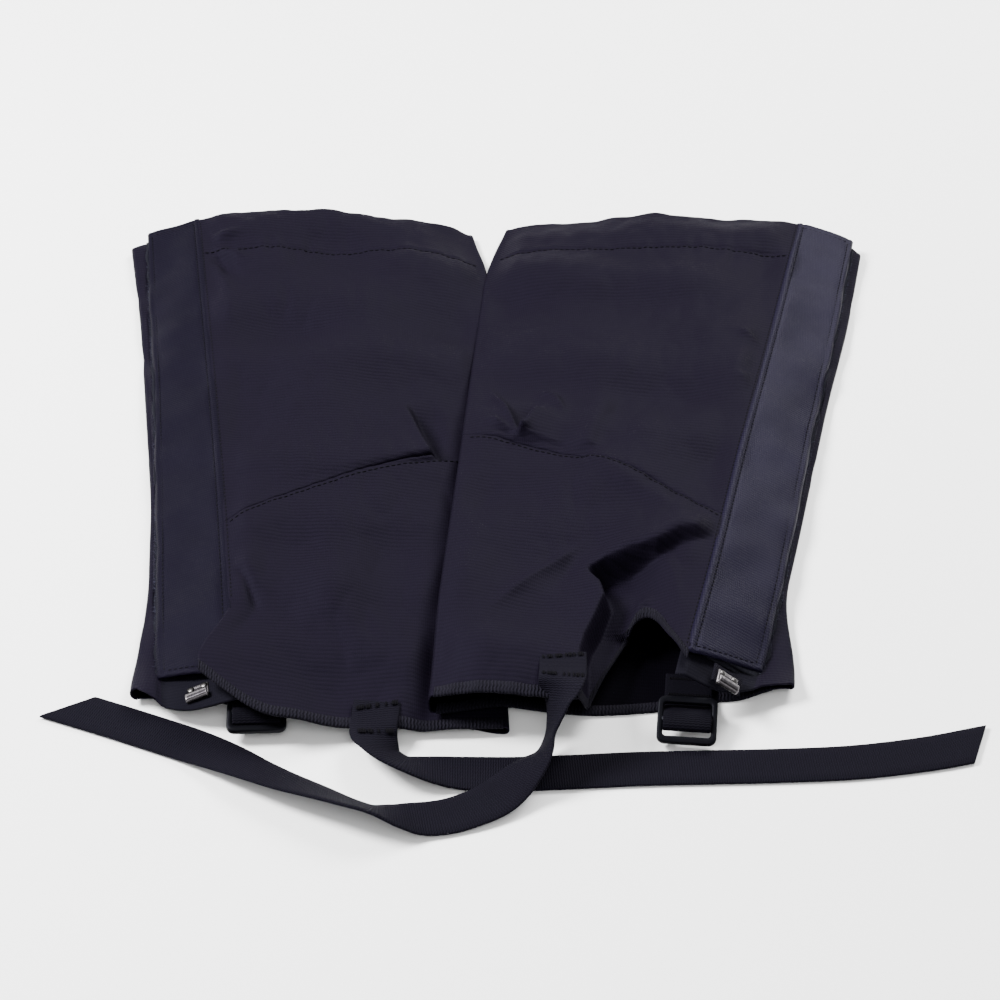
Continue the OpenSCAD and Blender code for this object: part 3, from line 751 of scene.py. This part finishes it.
# the facing's section from over the edge to the inside: up the leg from the edge, and up from the cloth
FACING = ((0, -0.7), (0.9, -0.9), (1.3, -1.7), (0.9, -2.6), (0, -2.9), (-4, -3.1), (-12, -3.1), (-20, -3.0),
          (-29, -2.6))
made = {}  # the sheets of cloth, by gaiter, face and part
for k, side in enumerate(SIDES):
    body, flap_body = side + "_gaiter", side + "_flap"

    def top_of(u, k=k):
        wave = 0.8 * np.sin(u / 9.0 + k) + 0.7 * np.sin(u / 4.1 + 2 * k)
        return top_v(u / seam_u(LEG_H)) + wave * smooth(u / 12) * smooth((150 - u) / 12)

    def hem_of(u, k=k):
        return hem_v(k, u)

    def low_hem_of(u, k=k):
        return low_hem_v(u, k)

    # upper side
    turned = []  # cloth that reaches over the flap: the left gaiter's keeps its place, the right's rides the gaiter
    for part, lo, hi, rows in (("leg", ankle_v, top_of, 170), ("boot", hem_of, ankle_v, 220)):
        U, V, Z = panel_grid(k, lo, hi, rows, 120, True)
        obj = add_cloth(f"{side}_strap_side_{part}_cloth", k, U, V, Z, SHELL_T, shell_mat, panel=True)
        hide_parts(f"{side}_strap_side_{part}_panel")
        turned.append(obj) if (k, part) == (LEFT, "boot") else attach(obj, body)
        made[side, "strap", part] = obj
    # lower side
    for part, lo, hi in (("leg", ankle_v, low_top_v), ("boot", low_hem_of, ankle_v)):
        U, V, Z = panel_grid(k, lo, hi, 60, 60, False)
        obj = add_cloth(f"{side}_buckle_side_{part}_cloth", k, U, V, Z + 0.05, SHELL_T, shell_mat, False)
        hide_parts(f"{side}_buckle_side_{part}_panel")
        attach(obj, body)
        made[side, "buckle", part] = obj

    # stitch rows of the upper side: below the ankle seam, under the top channel and beside the flap's seam
    us = np.linspace(3, seam_u(120) - 0.5, 160)
    rows = stitch_row(*on_upper(k, us, ankle_v(us) - 2.6, 0.15))
    width = seam_u(LEG_H - CHANNEL_H)
    us = np.linspace(4, width - 1, 200)
    rows += stitch_row(*on_upper(k, us, top_v(us / width) - CHANNEL_H, 0.35))
    vs = np.linspace((74, 34)[k], 398, 300)
    rows += stitch_row(*on_upper(k, seam_u(vs) - 1.6, vs), 2.8, 2.0)
    turned.append(add_mesh(side + "_shell_stitches", rows, thread.mat))

    # facing of the top channel, over the elastic, on both sides of the leg opening
    parts = []
    dv, dz = np.array(FACING).T[:, :, None]
    for upper in (True, False):
        us = np.linspace(2.5, seam_u(LEG_H) - 6 if upper else front_u(LEG_H) - 8, 110)
        edge = top_of(us) if upper else low_top_v(us)
        V = edge + dv - (0.4 if upper else 0.2)
        at = np.minimum(V, edge - 0.3)
        Z = upper_z(k, us, at) + dz if upper else low_z(k, us, at) - 0.7 - dz * 0.9
        Z = Z + 0.25 * np.sin(us / 1.9 + 0.5 * np.sin(us / 7)) * smooth(-dv / 6)
        parts.append(cloth_part(k, np.broadcast_to(us, V.shape), V, Z, 0.5, not upper, not upper, upper))
    obj = add_mesh(side + "_top_channel_facing", parts, lining_mat)
    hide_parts(side + "_top_hem", side + "_top_elastic")
    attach(obj, body)

    # casing of the ankle elastic, on the inside
    parts = []
    for upper in (True, False):
        U, V = np.meshgrid(np.linspace(4, seam_u(155) - 62, 60), np.linspace(150, 160, 6))
        knit = 0.12 * np.sin(U / 1.2)
        Z = upper_z(k, U, V) - 1.2 + knit if upper else low_z(k, U, V) + 0.5 + knit
        parts.append(cloth_part(k, U, V, Z, 0.6, upper, not upper, upper))
    obj = add_mesh(side + "_ankle_elastic_band", parts, elastic_mat)
    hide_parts(side + "_ankle_elastic")
    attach(obj, body)

    # flap
    seam_row, edge_row, low_row = 2.2, FLAP_W - 3, 4  # stitch rows: f of the first two, height of the third
    fs = np.concatenate([np.linspace(-1.2, 2, 6), np.linspace(3, FLAP_W - 1.5, 22),
                         [FLAP_W - 0.8, FLAP_W - 0.3, FLAP_W]])
    V = mix(flap_low(k, fs), LEG_H + 1, np.linspace(0, 1, 300)[:, None])
    F = np.broadcast_to(fs, V.shape)
    # raised seam allowance, and the turned edge, whose stitch rows pull in
    Z = flap_top(k, F, V) + (0.15, 0.4)[k] * bell(F - 0.9, 0.8) - 0.35 * bell(F - seam_row, 0.55)
    Z = Z - 0.3 * bell(F - edge_row, 0.6) - 0.8 * smooth((F - (FLAP_W - 0.8)) / 0.8)
    Z = Z - 0.3 * bell(V - flap_low(k, F) - low_row, 0.7) - 0.7 * (1 - smooth((V - flap_low(k, F)) / 0.9))
    U = seam_u(V) + F + smooth((F - 14) / 14) * (0.35 * np.sin(V / 23 + k) + 0.2 * np.sin(V / 7.3))
    flap = add_cloth(side + "_flap_cloth", k, U, V, Z, FLAP_T, flap_mats[k])
    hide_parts(side + "_front_flap")
    made[side, "flap", ""] = flap

    rows = []
    for f in (seam_row, edge_row):
        line = np.linspace(flap_low(k, f) + low_row, LEG_H - 1, 260)
        rows += stitch_row(*on_flap(k, f, line), 2.8, 2.0)
    across = np.linspace(seam_row, edge_row, 30)
    for v in (flap_low(k, across) + low_row, LEG_H - 3):
        rows += stitch_row(*on_flap(k, across, v), 2.8, 2.0)
    flap_rows = add_mesh(side + "_flap_stitches", rows, thread.mat)

    # loop tape under the flap: its pile shows past the flap's edge
    loop_ends, hook_ends = (FLAP_V0 + 6, LEG_H - 8), (FLAP_V0 + 4, LEG_H - 6)
    F, V = np.meshgrid(np.linspace(5, FLAP_W - 0.4, 14), np.linspace(*loop_ends, 220))
    rough_edge = 0.5 * np.sin(V / 3.1) + 0.5 * np.sin(V / 1.7 + 1) + 0.6 * np.sin(V / 11)
    U = seam_u(V) + F + smooth((F - 20) / 8) * (0.2 + 0.4 * rough_edge)
    Z = flap_top(k, F, V) - LOOP_TAPE_OFF
    loop = add_cloth(side + "_loop_tape", k, U, V, Z, TAPE_T, pile.mat)
    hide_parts(side + "_flap_loop_tape")
    fuzz = fibres(side + "_loop_tape_pile", k, 900, FLAP_W - 1.2, FLAP_W + 0.4, loop_ends, 1.2, 1.5, 11 + k)

    # a point on the flap's seam and one a few millimetres past it, which nothing uses; the flap and its stitch rows
    # keep their place, the tape and its pile ride the flap
    v, bend_w, slope = 200, 7, (EDGE_Z - seam_z(k, 200)) / FLAP_W
    seam_point = place(k, seam_u(v), v, seam_z(k, v))
    out = place(k, seam_u(v) + bend_w, v - bend_w * SEAM_LEAN, seam_z(k, v) + bend_w * slope)
    for obj in (flap, flap_rows):
        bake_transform(obj)
    for obj in (loop, fuzz):
        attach(obj, flap_body)

    # placket, its hook tape and the front fold
    fs = np.concatenate([np.linspace(-4, FLAP_W, 26), np.linspace(FLAP_W + 0.5, FLAP_W + MARGIN - 0.4, 10)])
    f_rel = (np.maximum(0, fs) / (FLAP_W + MARGIN)) ** (4, 3)[k]
    low_edge, corner = (11, 18.5)[k], (27, 34)[k]  # the right one ends above its swinging slider
    V = mix(mix(low_edge, corner, f_rel), LEG_H - 7 * f_rel, np.linspace(0, 1, 200)[:, None] ** 1.15)
    F = np.broadcast_to(fs, V.shape)
    U = seam_u(V) + F
    roll = (1 - smooth((V - 14) / (46, 40)[k])) * smooth((F - FLAP_W + 2) / 6)
    floor_z = curl(k, U, V)
    # under the tapes it dips wherever the flap does
    dip = np.minimum(0, flap_top(k, F, V) - flap_z(k, F, V))
    dip = dip * (1 - smooth((F - FLAP_W - 0.6) / 3)) * smooth((V - 28) / 6)
    Z = flap_z(k, F, V) - PLACKET_OFF + dip + roll * (3.0, 1.6)[k] + floor_z * smooth(F / 16) + past(k, F, V)
    # and turns round the front fold to the underside
    turns = np.radians([25, 50, 75, 95, 120, 150, 178])
    tip = Z[:, -1:]
    r = np.maximum(0.5, (tip - floor_z[:, -1:] - 0.1) / 2)
    fold = (U[:, -1:] + np.minimum(r, 1.6 + 1.8 * roll[:, -1:]) * np.sin(turns), V[:, -1:] + 0 * turns,
            tip - r + r * np.cos(turns))
    U, V, Z = (np.concatenate(pair, 1) for pair in zip((U, V, Z), fold))
    placket = add_cloth(side + "_placket_cloth", k, U, V, Z, PLACKET_T, lining_mat)
    placket.data.materials.append(shell_mat)
    uv = placket.data.uv_layers[0].data
    for poly in placket.data.polygons:
        u, v = uv[poly.loop_start].uv
        poly.material_index = int(u - seam_u(v) > FLAP_W - 1.5)
    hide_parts(side + "_placket")
    made[side, "placket", ""] = placket
    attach(placket, body)
    F, V = np.meshgrid(np.linspace(5, FLAP_W + 0.6, 14), np.linspace(*hook_ends, 200))
    U = seam_u(V) + F + smooth((F - 20) / 8) * 0.5 * np.sin(V / 2.9 + 2)
    Z = flap_top(k, F, V) - HOOK_TAPE_OFF + past(k, F, V)
    hook = add_cloth(side + "_hook_tape", k, U, V, Z, TAPE_T, pile.mat)
    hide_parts(side + "_placket_hook_tape")
    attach(hook, body)
    hook_fuzz = fibres(side + "_hook_tape_pile", k, 700, FLAP_W - 0.6, FLAP_W + 1.2, hook_ends, 2.4, 1.0, 21 + k)
    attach(hook_fuzz, body)

    # hem bindings: ribbed tape folded over the edge
    us = np.linspace(1.5, seam_u(SEAM_V0) - 0.3, 420)
    obj = binding(side + "_strap_side_hem_tape", k, us, hem_of, upper_z, False)
    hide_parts(side + "_strap_side_binding")
    turned.append(obj)
    for obj in turned:
        if k == LEFT:
            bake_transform(obj)
        else:
            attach(obj, body)
    us = np.linspace((14, 2.5)[k], front_u(25) - 7, 420)
    obj = binding(side + "_buckle_side_hem_tape", k, us, low_hem_of, low_z, True)
    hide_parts(side + "_buckle_side_binding")
    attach(obj, body)

# ---- instep straps: flat webbing along listed points x, y, z, each with the direction of its width ----
ROUTES = (
    [(-48.5, -186, 9, 1, 0.26, -0.02), (-49, -193, 8.4, 1, 0.18, -0.01), (-49.5, -200, 8, 1, 0.08, 0),
     (-49, -206, 7.6, 0.97, 0.15, -0.2), (-46, -213, 7.4, 0.75, 0.45, -0.5), (-42, -217, 6.9, 0.55, 0.65, -0.55),
     (-36, -220, 5.8, 0.3, 0.82, -0.5), (-28, -221, 4, 0.15, 0.95, -0.3), (-18, -221, 2, 0.05, 1, -0.1),
     (-6, -221, 0.9, 0, 1, 0), (10, -221, 0.9, 0, 1, 0), (30, -220, 0.9, -0.04, 1, 0),
     (60, -218, 0.9, -0.05, 1, 0), (90, -217, 0.9, -0.03, 1, 0), (120, -216, 0.9, -0.04, 1, 0),
     (150, -214, 0.9, -0.1, 1, 0), (180, -209, 0.9, -0.2, 0.98, 0), (203, -203, 0.9, -0.25, 0.97, 0)],
    [(29.5, -173, 24.6, 1, 0.1, 0.03), (29.3, -184, 26.1, 1, 0, 0.03), (28.6, -194, 27.7, 0.86, -0.33, 0.15),
     (27, -201, 22.6, 0.45, -0.62, 0.5), (25.2, -207, 17, 0.22, -0.75, 0.6), (23.2, -212, 12.9, 0.1, -0.8, 0.6),
     (20.3, -218, 9.8, 0.2, -0.8, 0.5), (15, -224, 7.2, 0.5, -0.78, 0.33), (9, -230, 4.6, 0.65, -0.75, 0.12),
     (2, -237, 3.2, 0.6, -0.8, 0), (-7, -242, 2, 0.4, -0.9, 0), (-18, -246, 1.2, 0.2, -1, 0),
     (-29, -248, 1.8, 0.05, -1, 0.08), (-39, -249, 4.6, 0, -0.93, 0.35), (-49, -248, 7.3, -0.03, -0.8, 0.6),
     (-59, -244, 7.3, -0.1, -0.8, 0.6), (-72, -237, 6.4, -0.25, -0.8, 0.5), (-85, -230, 5.4, -0.4, -0.8, 0.4),
     (-98, -222, 4.4, -0.4, -0.85, 0.3), (-111, -213, 2.8, -0.42, -0.9, 0.15), (-126, -204, 1.2, -0.45, -0.9, 0.02),
     (-143, -196, 0.9, -0.42, -0.9, 0), (-161, -188, 0.9, -0.4, -0.9, 0), (-180, -180, 0.9, -0.42, -0.9, 0)])
END_SKEW = (7, 8)
STEP = 0.5  # between the points of a resampled route
TACK_HALF, TACKS = 8.6, 26  # half width of a bar tack's zigzag, and its stitches


def spline(points, per):
    """Smooth line through all the points, in per steps from each to the next."""
    p = np.array(points, float)
    p = np.concatenate([p[:1], p, p[-1:]])
    f = np.arange(per)[:, None] / per
    return np.concatenate([0.5 * (2 * b + (c - a) * f + (2 * a - 5 * b + 4 * c - d) * f * f
                                  + (3 * b - a - 3 * c + d) * f ** 3)
                           for a, b, c, d in zip(p, p[1:], p[2:], p[3:])] + [p[-1:]])


def resample(path, wide):
    s = arc(path)
    at = np.linspace(0, s[-1], int(s[-1] / STEP) + 1)
    return sample(path, s, at), unit(sample(wide, s, at)), at


def webbing(name, path, wide, at, mat, skew=0.0, width=WEB_W, t=WEB_T):
    """Flat webbing with rounded edges, in millimetres of the shared frame. Its end is cut skew off square."""
    tan = unit(np.gradient(path, axis=0))
    w = unit(wide - (wide * tan).sum(1, keepdims=True) * tan)
    up = np.cross(w, tan)
    xs = [-0.985, -0.93, -0.6, -0.25, 0, 0.25, 0.6, 0.93, 0.985]
    section = [(x, 1) for x in xs] + [(1, 0)] + [(x, -1) for x in xs[::-1]] + [(-1, 0)]
    rings, UV = [], []
    for x, face in section:
        h = face * t / 2 * (0.6 if abs(x) > 0.97 else 1.0)
        shift = np.maximum(0, 1 - (at[-1] - at) / 12) * skew * x
        rings.append(path + w * (x * width / 2) + up * h + tan * shift[:, None])
        UV.append(np.stack(np.broadcast_arrays(x * width / 2, at + shift), 1))
    return add_mesh(name, [loft(np.stack(rings, 1) * MM, np.stack(UV, 1))], mat)


for k, side in enumerate(SIDES):
    route = spline(ROUTES[k], 12)
    path, wide, at = resample(route[:, :3], route[:, 3:])
    obj = webbing(side + "_instep_webbing", path, wide, at, web_mat, END_SKEW[k])
    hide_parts(side + "_instep_strap")
    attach(obj, side + "_gaiter")
    line = path[::10] * MM  # without the end
    # two bar tacks over the root
    rows = []
    tan = unit(np.gradient(path, axis=0))
    up = np.cross(wide, tan)
    up = np.where(up[:, 2:] < 0, -up, up)
    for i in (4, 34):
        for x in np.linspace(-TACK_HALF, TACK_HALF, TACKS):
            a = path[i] + wide[i] * x + up[i] * (WEB_T / 2 + 0.5) - tan[i] * 1.0
            b = path[i + 4] + wide[i + 4] * (x + 0.35) + up[i + 4] * (WEB_T / 2 + 0.5)
            long = np.linalg.norm(b - a)
            rows += stitch_row(np.linspace(a, b, 5) * MM, np.repeat(up[i:i + 1], 5, 0), long, long * 0.99, 0.3, 0)
    obj = add_mesh(side + "_strap_bar_tacks", rows, thread.mat)
    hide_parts(side + "_strap_bartack")
    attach(obj, side + "_gaiter")


# ---- buckle tabs, sliders and lace hooks ----
def rounded(half_w, half_d, corner):
    """Outline of a rectangle with rounded corners."""
    pts = []
    for i, (cx, cy) in enumerate(((1, 1), (-1, 1), (-1, -1), (1, -1))):
        for a in np.linspace(0, math.pi / 2, 14) + i * math.pi / 2:
            pts.append((cx * (half_w - corner) + corner * math.cos(a), cy * (half_d - corner) + corner * math.sin(a)))
    return np.array(pts)


def blunt(x):
    """Turns a circle's sine or cosine into that of a square with round corners."""
    return np.sign(x) * np.abs(x) ** 0.55


OUTER, INNER = rounded(12.5, 11, 3.4), rounded(10.05, 7.9, 1.6)
FRAME_T, BAR_HALF = 1.5, 10.9  # half the slider's thickness, half its centre bar's length
# the hook's cross-section: across, and up as a share of half its thickness
HOOK_RING = [(-4.6, 1), (-4.1, 1), (0, 1), (4.1, 1), (4.6, 1), (4.95, 0.6), (5, 0), (4.95, -0.6),
             (4.6, -1), (4.1, -1), (0, -1), (-4.1, -1), (-4.6, -1), (-4.95, -0.6), (-5, 0), (-4.95, 0.6)]
HOOK_Z, HOOK_T, HOOK_BEND_Y, HOOK_BEND_R = 0.9, 0.6, -3.5, 1.2
# a rivet's outline: radius and height
RIVET = ((0.8, 0.3), (0.8, 1.5), (1.5, 1.52), (1.6, 1.7), (1.4, 1.95), (0.8, 2.1), (0.2, 2.14))

for k, side in enumerate(SIDES):
    body = side + "_gaiter"
    bar_v = float(low_hem_v(TAB_U[k])) - TAB_DROP[k]
    drop, sewn = TAB_DROP[k], CLOTH + 1.5
    r = BAR_R + 0.9  # of the webbing's middle round the bar
    # loop of webbing, from the side: along the hem's inside, round the centre bar and back
    slack = (3.1, 2.3)[k]
    loop = [(drop + 16, sewn + 1.0), (drop + 8, sewn + 1.0), (drop - 1, sewn + 1.1),
            (drop * 0.55, BAR_Z * 0.45 + sewn * 0.55 + 2.0), (3.2, BAR_Z + r * 0.75), (1.2, BAR_Z + r)]
    loop += [(-slack * r * math.sin(a), BAR_Z + r * math.cos(a)) for a in np.radians([20, 50, 80, 110, 140, 165])]
    loop += [(1.0, BAR_Z - r), (3.6, BAR_Z - r * 0.6), (drop * 0.6, (BAR_Z - r) * 0.4 + sewn * 0.6),
             (drop - 1, sewn - 0.1), (drop + 8, sewn - 0.2), (drop + 16, sewn - 0.2)]
    yz = spline([(0, y, z) for y, z in loop], 10)
    pts = place(k, TAB_U[k] + 0 * yz[:, 1], bar_v + yz[:, 1], yz[:, 2]) / MM
    across = unit(place(k, 10.0, 0.0, 0.0) - place(k, 0.0, 0.0, 0.0))
    pts, wide, at = resample(pts, np.repeat(across[None], len(pts), 0))
    obj = webbing(side + "_tab_webbing", pts, wide, at, tab_mat, 0, 20.2, 1.05)
    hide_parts(side + "_buckle_tab")
    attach(obj, body)
    rows = []
    for v in (drop + 3, drop + 13):
        for x in TAB_U[k] + np.linspace(-8.4, 8.4, TACKS):
            a, b = (place(k, x + dx, bar_v + v + dv, sewn + 1.6) for dx, dv in ((0, -0.8), (0.35, 0.8)))
            rows += stitch_row(np.linspace(a, b, 4), np.repeat([[0, 0, 1.0]], 4, 0), 1.62, 1.6, 0.3, 0)
    obj = add_mesh(side + "_tab_bar_tacks", rows, thread.mat)
    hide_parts(side + "_tab_bartack")
    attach(obj, body)

    def at_tab(x, y, z, k=k, bar_v=bar_v, tilt=math.radians(TAB_TILT[k])):
        """From the slider's own axes, at the middle of its centre bar, to the shared frame."""
        return place(k, TAB_U[k] + x, bar_v + y * math.cos(tilt) - z * math.sin(tilt),
                     BAR_Z + y * math.sin(tilt) + z * math.cos(tilt))

    phi = np.linspace(0, math.tau, 20, endpoint=False)
    rings = []
    for o, i in zip(OUTER, INNER):
        xy = (o + i) / 2 + (o - i) / 2 * blunt(np.cos(phi))[:, None]
        rings.append(at_tab(xy[:, 0], xy[:, 1], FRAME_T * blunt(np.sin(phi))))
    rings = np.array(rings + rings[:1])
    UV = np.stack(np.broadcast_arrays(np.arange(len(rings))[:, None], phi * 2), -1)
    xs = np.linspace(-BAR_HALF, BAR_HALF, 12)
    bar = np.array([at_tab(x, *(BAR_R * blunt(wave(phi)) * 0.97 for wave in (np.cos, np.sin))) for x in xs])
    parts = [loft(rings, UV, caps=False), loft(bar, xs[:, None, None])]
    obj = add_mesh(side + "_slider", parts, plastic.mat)
    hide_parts(side + "_slider_buckle")
    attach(obj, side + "_slider")

    # ---- lace hook under the flap ----
    slope = math.atan((float(seam_z(k, HOOK_V)) - EDGE_Z) / FLAP_W)
    turn = -math.atan(SEAM_LEAN)
    z0 = float(flap_z(k, HOOK_US[k] - seam_u(HOOK_V), HOOK_V)) - PLACKET_OFF + 0.1

    def on_placket(x, y, z, k=k, slope=slope, turn=turn, z0=z0):
        """From the hook's own axes, with z up from the sloping placket, to the shared frame."""
        z = z + 0.15
        x, z = x * math.cos(slope) + z * math.sin(slope), -x * math.sin(slope) + z * math.cos(slope)
        x, y = x * math.cos(turn) - y * math.sin(turn), x * math.sin(turn) + y * math.cos(turn)
        return place(k, HOOK_US[k] + x, HOOK_V + y, z0 + z)

    xs, ys = np.meshgrid(np.linspace(-7, 7, 15), np.linspace((-6.5, -2.8)[k], 7.5, 40))
    patch = thick(on_placket(xs, ys, 0.8), 0.75, np.stack([xs, ys], -1))
    obj = add_mesh(side + "_hook_patch_webbing", [patch], web_mat)
    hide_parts(side + "_hook_patch")
    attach(obj, body)
    # the strip runs down the placket, turns over and comes back above itself
    low, top = HOOK_Z + HOOK_T / 2, HOOK_Z + 0.3 + 2 * HOOK_BEND_R
    prof = [(4.6, low), (1, low), (HOOK_BEND_Y, low)]
    prof += [(HOOK_BEND_Y - HOOK_BEND_R * math.sin(a), HOOK_Z + 1.5 - HOOK_BEND_R * math.cos(a))
             for a in np.radians([30, 60, 90, 120, 150])]
    prof = spline([(0, y, z) for y, z in prof + [(HOOK_BEND_Y, top), (-1.2, top)]], 4)
    d = unit(np.gradient(prof, axis=0))
    normal = np.stack([0 * d[:, 0], -d[:, 2], d[:, 1]], 1)
    rings = np.array([[on_placket(x, *(p + n * (h * HOOK_T / 2))[1:]) for x, h in HOOK_RING]
                      for p, n in zip(prof, normal)])
    UV = np.stack(np.broadcast_arrays([abs(x) for x, _ in HOOK_RING], np.linspace(0, 1, len(rings))[:, None]), -1)
    obj = add_mesh(side + "_lace_hook_steel", [loft(rings, UV)], hook_glint.mat)
    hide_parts(side + "_lace_hook")
    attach(obj, body)
    parts = []
    for x in (-3, 3):
        rings = np.array([[on_placket(x + q * math.cos(a), 3 + q * math.sin(a), h)
                           for a in np.linspace(0, math.tau, 24, endpoint=False)] for q, h in RIVET])
        parts.append(loft(rings))
    obj = add_mesh(side + "_hook_rivets", parts, steel.mat)
    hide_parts(side + "_lace_hook_rivets")
    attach(obj, body)

# ---- sheets of cloth: width and length when flat, and the cut's area, in metres ----
FLAT = {("strap", "leg"): (0.158, 0.285, 0.0345), ("strap", "boot"): (0.14, 0.19, 0.02),
        ("buckle", "leg"): (0.193, 0.31, 0.0437), ("buckle", "boot"): (0.166, 0.19, 0.0222)}
for (side, face, part), obj in made.items():
    if face in ("strap", "buckle"):
        width, length, area = FLAT[face, part]
    elif face == "flap":
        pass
    else:
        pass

# ---- floor ----
bpy.ops.mesh.primitive_plane_add(size=8, location=(0, 0, -0.0003))
floor = bpy.context.object
floor.name = "floor"
floor.data.materials.append(floor_mat)
